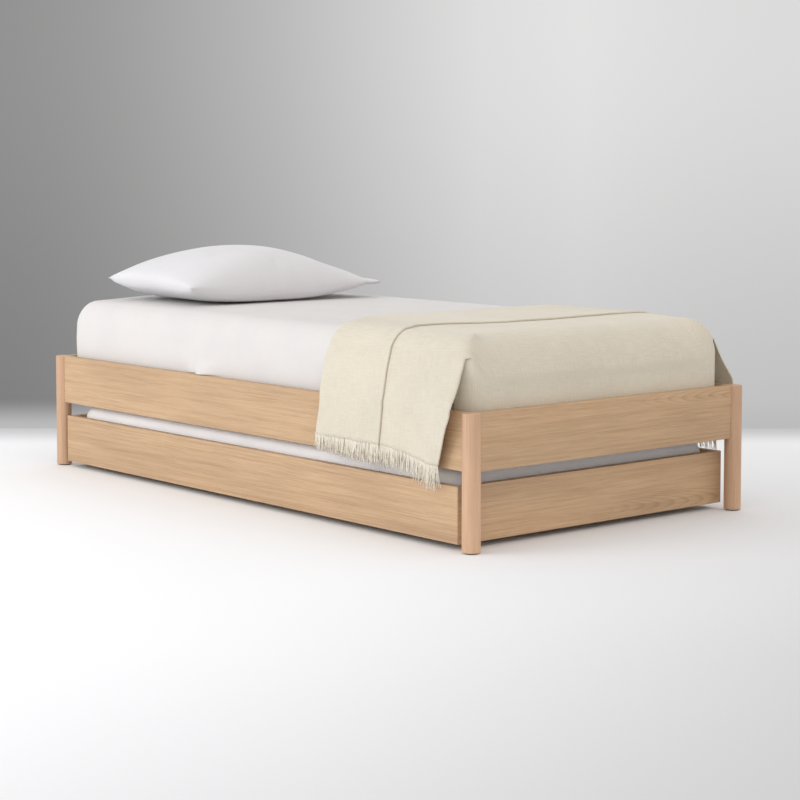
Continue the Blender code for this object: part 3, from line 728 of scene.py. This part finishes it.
def rest_on_mattress(layer, low, high):
    """Scale an inflated layer to its place, with its underside pressed flat."""
    half_x = (PILLOW_HIGH.x - PILLOW_LOW.x) / 2
    middle_x = (PILLOW_HIGH.x + PILLOW_LOW.x) / 2 - PILLOW_SHIFT
    length = PILLOW_HIGH.y - PILLOW_LOW.y - PILLOW_SLEEVE
    x = (layer[..., X] - low[X]) / (high[X] - low[X]) * 2 - 1
    y = (layer[..., Y] - low[Y]) / (high[Y] - low[Y])
    z = np.abs(layer[..., Z])
    crest = np.maximum(z.max(axis=0), 1e-4)
    along = np.clip(2 * y.mean(axis=0) - 1, -1.0, 1.0)
    taper = np.cos(math.pi / 2 * np.abs(along)) ** np.where(along < 0, *PILLOW_TAPER)
    share = z / crest * np.minimum(taper, crest / high[Z])
    seam = seam_height(x, y)
    steeper = 1 + 0.25 * ease(x, 0.0, 0.9) * (1 - ease(y, 0.4, 0.8))
    above = (PILLOW_HIGH.z + PILLOW_RISE - seam) * share**steeper
    pressed = np.tanh(PILLOW_PRESSED * share**0.85 * taper**0.4) / math.tanh(PILLOW_PRESSED)
    below = (seam - SHEET_HIGH.z - 0.0006) * pressed
    height = seam + np.where(layer[..., Z] > 0, above, -below)
    return stacked(middle_x + x * half_x, PILLOW_LOW.y + y * length, height)


def make_pillow(cotton_look):
    """An inflated pillow, and a case whose far end is an open sleeve."""
    top, bottom = pillow_layers()
    trial, upper, lower = join_layers("pillow_trial", top, bottom)
    inflate(trial)
    points = np.array([v.co for v in trial.data.vertices])
    top, bottom = points[upper], points[lower]
    bpy.data.objects.remove(trial)
    low, high = top.min(axis=(0, 1)), top.max(axis=(0, 1))
    top, bottom = rest_on_mattress(top, low, high), rest_on_mattress(bottom, low, high)
    top[..., Z] += 0.0010 * ripple(top, (9.0, 9.0, 9.0), 4.4)

    centre = np.array([(PILLOW_HIGH.x + PILLOW_LOW.x) / 2, PILLOW_LOW.y, PILLOW_SEAM_Z])
    inner = [(layer - centre) * PILLOW_CORE_SCALE + centre + PILLOW_CORE_SHIFT for layer in (top, bottom)]
    core, _, _ = join_layers("pillow_core", *inner)
    finish_piece(core, "bed_frame", cotton_look, "white_cotton", "pillow")

    for layer, side in ((top, 1.0), (bottom, -1.0)):
        run = np.linspace(0.0, 1.0, layer.shape[1])[None, :]
        into = ease(run, 0.90, 1.0)
        open_by = MOUTH_HALF * np.sqrt(1 - np.linspace(-1.0, 1.0, layer.shape[0])**4)
        mouth = seam_height(0.0, 1.0) + side * open_by
        layer[..., Z] = layer[..., Z] * (1 - into) + mouth[:, None] * into
        layer[..., Y] += PILLOW_SLEEVE * ease(run, 0.80, 1.0)
    case, _, _ = join_layers("pillow_case", top, bottom, open_end=True)
    thicken(case, COTTON_THICKNESS)
    finish_piece(case, "bed_frame", cotton_look, "white_cotton", "pillowcase")


# ==== throw ====
# Paths read from the throw's edges. HEAD_FOLD and FOLDED_RIM give X by the place across the
# throw, which is 0 at the middle of the bed, grows towards the back, and goes on down the hanging
# parts. FOOT_EDGE gives X by the way down a hanging part, and HEM_DROP that part's length by X.
HEAD_FOLD = ((-0.74, 0.370), (-0.62, 0.395), (-0.50, 0.383), (-0.42, 0.405), (-0.28, 0.295), (-0.19, 0.275),
             (-0.03, 0.316), (0.10, 0.296), (0.25, 0.288), (0.33, 0.302), (0.38, 0.335), (0.42, 0.395),
             (0.47, 0.440), (0.74, 0.455))
FOLDED_RIM = ((-0.74, 0.635), (-0.60, 0.652), (-0.50, 0.641), (-0.42, 0.647), (-0.35, 0.597),
              (-0.28, 0.595), (-0.10, 0.660), (0.10, 0.668), (0.22, 0.652), (0.33, 0.650),
              (0.43, 0.705), (0.50, 0.715), (0.74, 0.710))
FOOT_EDGE = ((0.0, 0.934), (0.010, 0.927), (0.035, 0.923), (0.088, 0.936), (0.130, 0.945), (0.155, 0.939),
             (0.213, 0.915), (0.256, 0.895), (0.284, 0.884), (0.33, 0.872))
HEM_DROP = ((0.37, 0.252), (0.50, 0.254), (0.60, 0.254), (0.73, 0.257), (0.83, 0.274), (0.88, 0.281))
FAR_FOOT_EDGE_SHIFT = 0.005
FOOT_EDGE_LIFT = {-1: 0.023, 1: 0.012}  # how far the drop's foot edge swings out, front and back
FOOT_EDGE_LIP = 0.006  # how far its upper end pops out at the corner
LEAVE_ANGLE = math.radians(27)  # where on the soft edge the hanging part leaves the mattress
LOWER_HEIGHT = 0.0035  # middle of the cloth over the sheet
UPPER_HEIGHT = 0.0068
FOLD_RADIUS = 0.0032
RIM_LIFT = 0.0011
THROW_THICKNESS = 0.003
INNER_SHARE = 0.62  # that thickness as a share of the rim's
THROW_CELL = 0.011
HANG_ROWS = 29
TUCK_BOTTOM = 0.272
WRAP_START = 0.890  # how far the tucked part reaches round each corner, behind the hanging parts
WRAP_HEIGHT = 0.0014  # over the sheet, behind the hanging parts

BED = SoftBlock("fitted_sheet", MATTRESS_EDGE, 0.0, MATTRESS_FOOT_EDGE)
RING_INSET = BED.edge_in * LEAVE_ANGLE / (math.pi / 2)
THROW_RING = BED.half_y - RING_INSET
RING_X = BED.half_x - RING_INSET
OVER_RAIL = RAIL_OUTER_Y + 0.0005


def read_path(points, place):
    """Smooth reading of a path given by a few points."""
    xs, ys = zip(*points)
    shifts = (-0.02, -0.01, 0.0, 0.01, 0.02)
    return sum(np.interp(np.asarray(place) + s, xs, ys) for s in shifts) / len(shifts)


def drop_waves(x, t, sign):
    """How far the hanging cloth swings out: soft vertical folds that grow towards the hem."""
    low = ease(t, 0.11, 0.30)
    seed = 1.3 if sign < 0 else 6.1
    broad = np.sin(2 * math.pi * (x * 7.1 + seed))
    small = np.sin(2 * math.pi * (x * 13.3 + 2 * seed + 1.2 * t))
    swing = np.clip(0.0030 * (1.3 + (broad + 0.6 * small)) * low, 0.0, None)
    lip = FOOT_EDGE_LIP * ease(x, 0.88, 0.93) * ease(t, 0.0, 0.009)
    return swing + lip + FOOT_EDGE_LIFT[sign] * ease(x, 0.78, 0.94) * ease(t, 0.02, 0.14)


def top_relief(x, y):
    """Gentle unevenness of the cloth lying on the bed."""
    place = stacked(x, y, 0.0)
    broad, small = ripple(place, (9.0, 5.0, 1.0), 8.2), ripple(place, (26.0, 14.0, 1.0), 1.9)
    far = hill(y, 0.405, 0.060) * (1 - ease(x, 0.72, 0.86))
    return 0.0011 * (1 + broad) + 0.0008 * (1 + small) + 0.005 * far


def on_bed(x, y, height):
    """Points of the cloth on top of the bed, up to the ring where it leaves the mattress."""
    x, y = BED.outline_grid(x, y, RING_INSET)
    return BED.over_top(x, y, height + top_relief(x, y))[0]


def hanging(x, ring_x, place, height):
    """Points of the cloth beyond the ring: straight out to the rail's edge, then down."""
    sign = np.sign(place)
    t = np.abs(place) - THROW_RING
    anchor = ring_x + (x - ring_x) * ease(t, 0.0, 0.012)
    px, py = BED.outline_grid(anchor, sign * THROW_RING, RING_INSET)
    ring, normal = BED.over_top(px, py)
    reach_y, reach_z = OVER_RAIL - np.abs(ring[..., Y]), ring[..., Z] - (RAIL_TOP + 0.0015)
    length = np.hypot(reach_y, reach_z)
    share, fall = np.clip(t / length, 0.0, 1.0), np.clip(t - length, 0.0, None)
    y = np.abs(ring[..., Y]) + reach_y * share
    z = ring[..., Z] - reach_z * share - fall
    early, late = ease(t, 0.0, 0.02), ease(t, length - 0.014, length + 0.014)
    out_y = (np.abs(normal[..., Y]) * (1 - early) + reach_z / length * early) * (1 - late) + late
    out_z = (normal[..., Z] * (1 - early) + reach_y / length * early) * (1 - late)
    size = np.hypot(out_y, out_z)
    waves = np.where(sign < 0, drop_waves(x, t, -1), drop_waves(x, t, 1))
    lift = height + waves + top_relief(px, py) * (1 - early)
    x = x + (ring[..., X] - anchor) * (1 - ease(t, 0.0, 0.04))
    return stacked(x, sign * (y + out_y / size * lift), z + out_z / size * lift)


def throw_columns():
    """Along the cloth from its folded rim: (kind, share) for the upper layer, bend and lower."""
    upper = [("upper", g) for g in (1.0, 0.985, 0.965, *np.linspace(0.93, 0.0, 26))]
    bend = [("bend", math.radians(a)) for a in (60, 30, 0, -30, -60)]
    coarse, fine = np.linspace(0.0, 0.88, 46), np.linspace(0.88, 1.0, 13)[1:]
    return upper + bend + [("lower", f) for f in (*coarse, *fine)]


def column_place(column, place, foot):
    """X of a column at a place across the throw, and its height over the sheet."""
    kind, share = column
    head = read_path(HEAD_FOLD, place)
    if kind == "lower":
        return head + share * (foot - head), np.full_like(head, LOWER_HEIGHT)
    if kind == "bend":
        rise = FOLD_RADIUS * (1 + math.sin(share))
        return head - FOLD_RADIUS * math.cos(share), np.full_like(head, LOWER_HEIGHT + rise)
    x = head + share * (read_path(FOLDED_RIM, place) - head)
    puff = LOWER_HEIGHT + 2 * FOLD_RADIUS - UPPER_HEIGHT
    rim_lift = RIM_LIFT * max(0.0, 1 - (1 - share) / 0.05)
    return x, UPPER_HEIGHT + puff * np.exp(-(x - head) / 0.035) + rim_lift


def foot_limit(place):
    """X where the cloth ends at the foot: the ring on top of the bed, its edge on the hanging parts."""
    t = np.abs(place) - THROW_RING
    edge = read_path(FOOT_EDGE, np.clip(t, 0.0, None)) + np.where(place > 0, FAR_FOOT_EDGE_SHIFT, 0.0)
    return np.where(t < 0, RING_X, edge)


def throw_points():
    """The whole cloth but its foot flap: points and flat places, by row across and column along."""
    top = graded(-THROW_RING, THROW_RING, 0.05, 0.006, THROW_CELL)
    shares = np.linspace(0.0, 1.0, HANG_ROWS + 1)[1:]
    columns = throw_columns()
    points, flat = [], []
    for column in columns:
        sides = []
        for sign in (-1, 1):
            middle = np.array([sign * (THROW_RING + 0.15)])
            drop = read_path(HEM_DROP, column_place(column, middle, foot_limit(middle))[0])
            place = sign * (THROW_RING + drop * shares)
            at_ring = np.array([sign * THROW_RING])
            ring_x = column_place(column, at_ring, RING_X)[0]
            x, height = column_place(column, place, foot_limit(place))
            sides.append((place, x, hanging(x, ring_x + 0 * x, place, height)))
        x, height = column_place(column, top, RING_X)
        middle_part = (top, x, on_bed(x, top, height))
        parts = [tuple(a[::-1] for a in sides[0]), middle_part, sides[1]]
        place, x, line = (np.concatenate([p[k] for p in parts]) for k in range(3))
        along = x if column[0] == "lower" else 2 * read_path(HEAD_FOLD, place) - x
        points.append(line)
        flat.append(stacked(along, place))
    return np.array(points), np.array(flat), len(top)


def foot_flap(surface, edge, ys):
    """The part tucked down behind the foot rail, wrapped a little way round both corners."""
    wrap = np.linspace(WRAP_START, RING_X, 7)[:-1]
    behind = np.full_like(wrap, WRAP_HEIGHT)
    rise = ease(THROW_RING - np.abs(ys), 0.0, 0.05)
    low_height = np.concatenate([behind, WRAP_HEIGHT + (LOWER_HEIGHT - WRAP_HEIGHT) * rise, behind])
    full_height = np.concatenate([behind, 0 * ys + LOWER_HEIGHT, behind])

    def line_at(depth, fall, run):
        half_x, half_y = BED.half_x - depth, BED.half_y - depth
        near = stacked(wrap, -half_y)
        foot = stacked(half_x, ys * half_y / THROW_RING)
        plan = np.concatenate([near, foot, near[::-1] * np.array([1.0, -1.0])])
        px, py = BED.outline_grid(plan[:, 0], plan[:, 1], depth)
        soft = 0.0010 * (1 + ripple(stacked(px, py, run), (12.0, 12.0, 3.0), 3.3))
        share = ease(run, 0.0, 0.08)
        height = full_height + (low_height - full_height) * ease(run, 0.0, 0.02)
        relief = top_relief(px, py) * (1 - share) + soft * share
        point = BED.over_top(px, py, height + relief * height / LOWER_HEIGHT)[0]
        point[:, Z] += (TUCK_BOTTOM - point[:, Z]) * fall
        return point, stacked(RING_X + run, py)

    hidden, flat = line_at(RING_INSET + 0.002, 0.0, 0.0)
    count = len(wrap)
    above = surface.row(hidden[:count], flat[:count]) + edge + surface.row(hidden[-count:], flat[-count:])
    depths = [(d, 0.0) for d in np.linspace(RING_INSET, 0.0, 7)[1:]]
    depths += [(0.0, fall) for fall in np.linspace(0.0, 1.0, 13)[1:]]
    for step, (depth, fall) in enumerate(depths):
        line = surface.row(*line_at(depth, fall, 0.012 * (step + 1)))
        surface.bridge(above, line)
        above = line


def make_throw(look, yarn_look):
    """One cloth over the foot half of the bed, folded back on itself towards the head."""
    points, flat, top_count = throw_points()
    surface = Surface()
    rows = np.array(surface.grid(points, flat))
    start = (rows.shape[1] - top_count) // 2
    top = slice(start, start + top_count)
    foot_flap(surface, list(rows[-1][top]), flat[-1][top, 1])
    throw = surface.build("throw_cloth")
    hem = throw.vertex_groups.new(name="hem")
    rim = set(rows[0]) | set(rows[1]) | set(rows[:, 0]) | set(rows[:, -1])
    hem.add([i for i in range(len(surface.points)) if i not in rim], INNER_SHARE, "REPLACE")
    hem.add([int(i) for i in rim], 1.0, "REPLACE")
    thicken(throw, THROW_THICKNESS / INNER_SHARE, 0.0, "hem")
    finish_piece(throw, "bed_frame", look, "cream_wool", "throw")
    fringes = [make_fringe(side, points[:, k], yarn_look) for side, k in zip(SIDES, (0, -1))]
    for piece in (throw, *fringes):
        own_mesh(piece)


# ==== fringe ====
TASSEL_SPACING = 0.0058
TASSEL_LENGTH = ((0.37, 0.042), (0.50, 0.052), (0.60, 0.060), (0.75, 0.060), (0.90, 0.070))  # by X
STRANDS = 3
STRAND_SPACING = 0.0017
STRAND_RADII = 0.0008 * np.array([0.9, 1.35, 1.15, 1.1, 0.95, 0.7])  # from its root down
KNOT_LEVELS = (0.001, -0.0015, -0.004, -0.006)
KNOT_RADII = (0.0009, 0.0013, 0.0013, 0.0010)
KNOT_DROP = 0.005  # from the hem to where the strands leave the knot
FRINGE_SEEDS = {"front": 11, "back": 12}
OUTWARDS = {"front": -1.0, "back": 1.0}


def add_tube(surface, path, radii, sides=5):
    """A thin upright yarn along a path, with closed ends."""
    turns = 2 * math.pi * np.arange(sides) / sides
    circle = stacked(np.cos(turns), np.sin(turns), 0.0)
    rows = []
    for point, radius in zip(path, radii):
        ring = point + circle * radius
        rows.append(surface.row(ring, ring[:, :2]))
    for above, below in zip(rows, rows[1:]):
        surface.bridge(above, below, closed=True)
    surface.faces.append(tuple(rows[0]))
    surface.faces.append(tuple(rows[-1][::-1]))


def make_fringe(side, hem, look):
    """Small knotted tassels along the hem of both layers of one hanging part."""
    rng = random.Random(FRINGE_SEEDS[side])
    sign = OUTWARDS[side]
    surface = Surface()
    steps = np.linalg.norm(np.diff(hem, axis=0), axis=1)
    run = np.concatenate([[0.0], np.cumsum(steps)])
    for place in np.arange(0.003, run[-1] - 0.002, TASSEL_SPACING):
        knot = np.array([np.interp(place, run, hem[:, k]) for k in range(3)])
        knot[X] += rng.uniform(-0.0008, 0.0008)
        add_tube(surface, [knot + np.array([0, 0, z]) for z in KNOT_LEVELS], KNOT_RADII)
        length = float(read_path(TASSEL_LENGTH, knot[X])) * rng.uniform(0.84, 1.06)
        loose = 0.0045 + 0.0055 * float(ease(knot[X], 0.74, 0.88))
        for strand in range(STRANDS):
            splay = np.array([rng.gauss(0, loose), sign * rng.uniform(-0.001, 0.005), 0.0])
            root = knot + np.array([(strand - 1) * STRAND_SPACING, 0.0, -KNOT_DROP])
            fall = length * rng.uniform(0.86, 1.0) - KNOT_DROP
            curl = rng.uniform(-0.0015, 0.0015)
            path = [root + np.array([0.0, sign * 0.0018, 0.006 + rng.uniform(0.0, 0.006)])]
            for q in np.linspace(0.0, 1.0, 5):
                path.append(root + splay * q**1.5 + np.array([curl * math.sin(3 * q), 0.0, -fall * q]))
            add_tube(surface, path, STRAND_RADII)
    return finish_piece(surface.build(f"throw_fringe_{side}"), "bed_frame", look, "cream_wool")


# ==== studio ====
FLOOR_TONE = (0.930, 0.940, 0.960)
FLOOR_SHADE_RIGHT = (0.5, 3.0, 0.60)  # painted shade towards the right: distance where it starts and ends, and the tone there
FLOOR_SHADE_BY_WALL = (0.85, 1.32, 0.62)  # painted shade where the floor meets the wall: the same, by distance towards the wall
WALL_FOOT_SHADE = (0.115, 0.50)  # painted shade at the wall's foot: height over which it blends into the floor, and the tone there
WALL_LIGHT_LEVELS = ((0.0, 0.285), (0.10, 0.345), (0.33, 0.497), (0.5, 0.624), (0.667, 0.735), (0.82, 0.776),
               (1.0, 0.715))  # painted light and shade of the glowing wall, by the place from left to right
FLOOR_RINGS = (0.5, 1.5, 4.0, 12.0, 40.0)


def make_floor():
    """A wide pale floor with painted shade: a little darker towards the right and where it meets the wall.
    """
    f = Finish("floor_tone_and_painted_shade", 0.75, Specular_IOR_Level=0.15)
    x, y, _ = f.split(f.object_point())
    right = f.plus(x, f.times(y, 0.35))
    # painted shade: the floor darkens towards the right
    start, end, tone = FLOOR_SHADE_RIGHT
    side = f.remap(right, start, end, 1.0, tone)
    turn = CAMERA_TURN[2]
    away = f.plus(f.times(x, -math.sin(turn)), f.times(y, math.cos(turn)))
    # painted shade: the floor darkens where it meets the wall
    start, end, tone = FLOOR_SHADE_BY_WALL
    wall_shade = f.remap(away, start, end, 1.0, tone)
    cloud = f.remap(f.noise(f.object_point(), 0.8), 0.2, 0.8, 0.985, 1.0)
    f.set("Base Color", f.tint(FLOOR_TONE, f.times(cloud, f.times(side, wall_shade))))
    surface = Surface()
    turns = np.linspace(0, 2 * math.pi, 65)[:-1]
    circles = [stacked(r * np.cos(turns), r * np.sin(turns), 0.0) for r in FLOOR_RINGS]
    rows = [surface.row(circle, circle[:, :2]) for circle in circles]
    surface.faces.append(tuple(rows[0]))
    for inner, outer in zip(rows, rows[1:]):
        surface.bridge(inner, outer, closed=True)
    floor = surface.build("floor")
    floor.data.materials.append(f.material)


def backdrop_painted_light():
    """Painted light that the wall gives off itself, with painted shade darker to the left and below, clear
    from behind.
    """
    f = Finish("backdrop_painted_light", 1.0)
    along, _, up = f.split(f.object_point())
    stops = [(place, rgb(level, 0.99 * level, 0.99 * level)) for place, level in WALL_LIGHT_LEVELS]
    # painted light and shade: the glow is darker to the left and below
    tone = f.tint(f.ramp(f.remap(along, -1.6, 1.6), stops), f.remap(up, -0.3, 1.5, 0.72, 1.0))
    # painted shade: the glow darkens where the wall meets the floor
    height, level = WALL_FOOT_SHADE
    tone = f.blend(f.remap(up, 0.0, height), rgb(level, level, level), tone)
    glow = f.add("Emission", Strength=1.0, Color=tone)
    f.tree.nodes.remove(f.shader)
    sides = f.add("MixShader")
    f.feed(sides.inputs[0], f.add("NewGeometry").outputs["Backfacing"])
    f.feed(sides.inputs[1], glow.outputs[0])
    f.feed(sides.inputs[2], f.add("BsdfTransparent").outputs[0])
    out = next(n for n in f.tree.nodes if n.type == "OUTPUT_MATERIAL")
    f.feed(out.inputs["Surface"], sides.outputs[0])
    return f.material


def make_backdrop():
    """A wall behind the bed that glows with painted light and shade, seen only by the camera and only from
    its front.
    """
    width, height = BACKDROP_SIZE
    surface = Surface()
    xs, zs = np.linspace(-width / 2, width / 2, 15), np.linspace(0.0, height, 7)
    grid = stacked(xs[:, None], 0.0, zs)
    surface.grid(grid, grid[..., :2])
    wall = surface.build("backdrop")
    wall.data.materials.append(backdrop_painted_light())
    turn = CAMERA_TURN[2]
    wall.rotation_euler.z = turn
    wall.location = (-math.sin(turn) * BACKDROP_DISTANCE, math.cos(turn) * BACKDROP_DISTANCE, 0.0)
    for ray in ("diffuse", "glossy", "transmission", "shadow"):
        setattr(wall, f"visible_{ray}", False)


def make_lights():
    """Soft light from all round, a little warmer from the foot's side, and one large key light."""
    world = bpy.data.worlds.new("studio")
    f = Nodes(world)
    across = f.split(f.add("TexCoord").outputs["Generated"])[X]
    share = f.add("MapRange", Value=across, From_Min=-1.0).outputs[0]
    stops = ((0.0, rgb(*WORLD_LEFT)), (0.5, rgb(1.0, 1.0, 1.0)), (1.0, rgb(*WORLD_RIGHT)))
    background = f.tree.nodes["Background"]
    f.feed(background.inputs["Color"], f.ramp(share, stops))
    f.feed(background.inputs["Strength"], WORLD_STRENGTH)
    bpy.context.scene.world = world
    lamp = bpy.data.lights.new("key", "AREA")
    lamp.shape = "RECTANGLE"
    lamp.size, lamp.size_y = KEY_SIZE
    lamp.energy = KEY_POWER
    key = bpy.data.objects.new("key", lamp)
    key.location = KEY_PLACE
    key.rotation_euler = (Vector(KEY_AIM) - Vector(KEY_PLACE)).to_track_quat("-Z", "Y").to_euler()
    bpy.context.collection.objects.link(key)


def make_camera():
    data = bpy.data.cameras.new("camera")
    data.lens = CAMERA_LENS
    data.shift_y = CAMERA_SHIFT_Y
    camera = bpy.data.objects.new("camera", data)
    camera.location = CAMERA_PLACE
    camera.rotation_euler = CAMERA_TURN
    bpy.context.collection.objects.link(camera)
    bpy.context.scene.camera = camera
    bpy.context.scene.view_settings.view_transform = "Standard"


# ==== materials of the CAD nodes ====
def dress(names, material):
    """Give CAD nodes a material of their own."""
    for name in names:
        slots = NODES[name].data.materials
        if not len(slots):
            slots.append(material)
        for k in range(len(slots)):
            slots[k] = material


def dress_boards():
    dress(["side_rail_front"], wood("oak_rail_front", X, Z, 1.7, OAK, (0.62, -0.62), 0.0046, 0.012))
    dress(["side_rail_back"], wood("oak_rail_back", X, Z, 5.3, OAK, (-0.10, 0.60), 0.0046, 0.010))
    dress(["foot_rail"], wood("oak_rail_foot", Y, Z, 9.1, OAK, (0.335, 0.935), 0.0030, 0.055,
                             arches=0.34, arches_from=(0.02, 0.30)))
    dress(["head_rail"], wood("oak_rail_head", Y, Z, 2.9, OAK, (0.26, -1.05), 0.0050, -0.050))
    for n, (side, place) in enumerate((("front", -0.66), ("back", 0.62))):
        look = wood(f"oak_box_{side}", X, Z, 12.4 + 3 * n, OAK, (0.24, place), 0.0046, 0.014)
        dress([f"trundle_{side}_board"], look)
    for n, (end, place) in enumerate((("head", -1.00), ("foot", 0.895))):
        look = wood(f"oak_box_{end}", Y, Z, 21.6 + 3 * n, OAK, (0.035, place), 0.0030, -0.050,
                    arches=0.32, arches_from=(-0.05, 0.25))
        dress([f"trundle_{end}_board"], look)


def dress_posts():
    for n, name in enumerate(f"post_{end}_{side}" for end in ENDS for side in SIDES):
        low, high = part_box(name)
        heart = ((low.x + high.x) / 2 + 0.035, (low.y + high.y) / 2 + 0.02)
        dress([name], wood(f"oak_post_{n + 1}", Z, X, 31.0 + 4 * n, POST_OAK, heart, 0.0035, 0.02, 0.46))


def dress_hidden_wood():
    slats = sorted(n for n in NODES if n.startswith("slat_") and "cleat" not in n)
    for n, name in enumerate(slats):
        heart = (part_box(name)[0].x + 0.03 + 0.02 * (n % 3), 0.16)
        dress([name], wood(f"pine_{name}", Y, X, 50.0 + 3 * n, PINE, heart, 0.0045, 0.02, 0.6))
    for n, name in enumerate(sorted(n for n in NODES if "cleat" in n)):
        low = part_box(name)[0]
        heart = (low.z - 0.05, low.y - 0.04)
        dress([name], wood(f"pine_{name}", X, Z, 90.0 + 3 * n, PINE, heart, 0.004, 0.01, 0.6))
    dress(["trundle_bearer"], wood("pine_bearer", Y, Z, 99.0, PINE, (-0.02, 0.05), 0.004, 0.01, 0.6))
    dress([f"deck_panel_{end}" for end in ENDS], plywood())


def dress_metal_and_plastic():
    corners = [f"{end}_{side}" for end in ENDS for side in SIDES]
    dress([f"glide_{c}" for c in corners], black_plastic())
    parts = ("corner_plate", "corner_bolt", "caster_bracket", "caster_axle")
    dress([f"{part}_{c}" for part in parts for c in corners], zinc_steel())
    for corner in corners:
        low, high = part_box(f"caster_wheel_{corner}")
        dress([f"caster_wheel_{corner}"], wheel_rubber(f"wheel_rubber_{corner}", (low + high) / 2))


# ==== everything together ====
make_camera()
make_lights()
make_floor()
make_backdrop()
dress_boards()
dress_posts()
dress_hidden_wood()
dress_metal_and_plastic()

COTTON = cotton("white_percale", rgb(0.705, 0.685, 0.675), rgb(0.685, 0.665, 0.66))
PILLOW_COTTON = cotton("pillow_percale", rgb(0.735, 0.73, 0.75), rgb(0.715, 0.71, 0.73))
# painted light: the trundle's percale is made much lighter than the upper sheet's to lift the shade in the
# gap under the rails
TRUNDLE_COTTON_PAINTED_LIGHT = cotton("trundle_percale_painted_light", rgb(0.88, 0.88, 0.90), rgb(0.85, 0.85, 0.87))
TICKING = ticking()
# rows of points down each sheet's sides, closer together where the upper one meets the rail's top
BED_ROWS = [*np.linspace(0.095, 0.0035, 9), 0.0022, -0.0015, *np.linspace(-0.014, -0.084, 6)]
TRUNDLE_ROWS = np.linspace(0.150, 0.092, 6)
make_bedding("", "bed_frame", MATTRESS_EDGE, MATTRESS_FOOT_EDGE, bed_sheet_relief,
             [RAIL_TOP + z for z in BED_ROWS], COTTON, TICKING)
make_bedding("trundle_", "trundle", TRUNDLE_EDGE, None, trundle_sheet_relief, TRUNDLE_ROWS,
             TRUNDLE_COTTON_PAINTED_LIGHT, TICKING)
make_pillow(PILLOW_COTTON)
make_throw(wool(), yarn())

bpy.context.view_layer.update()
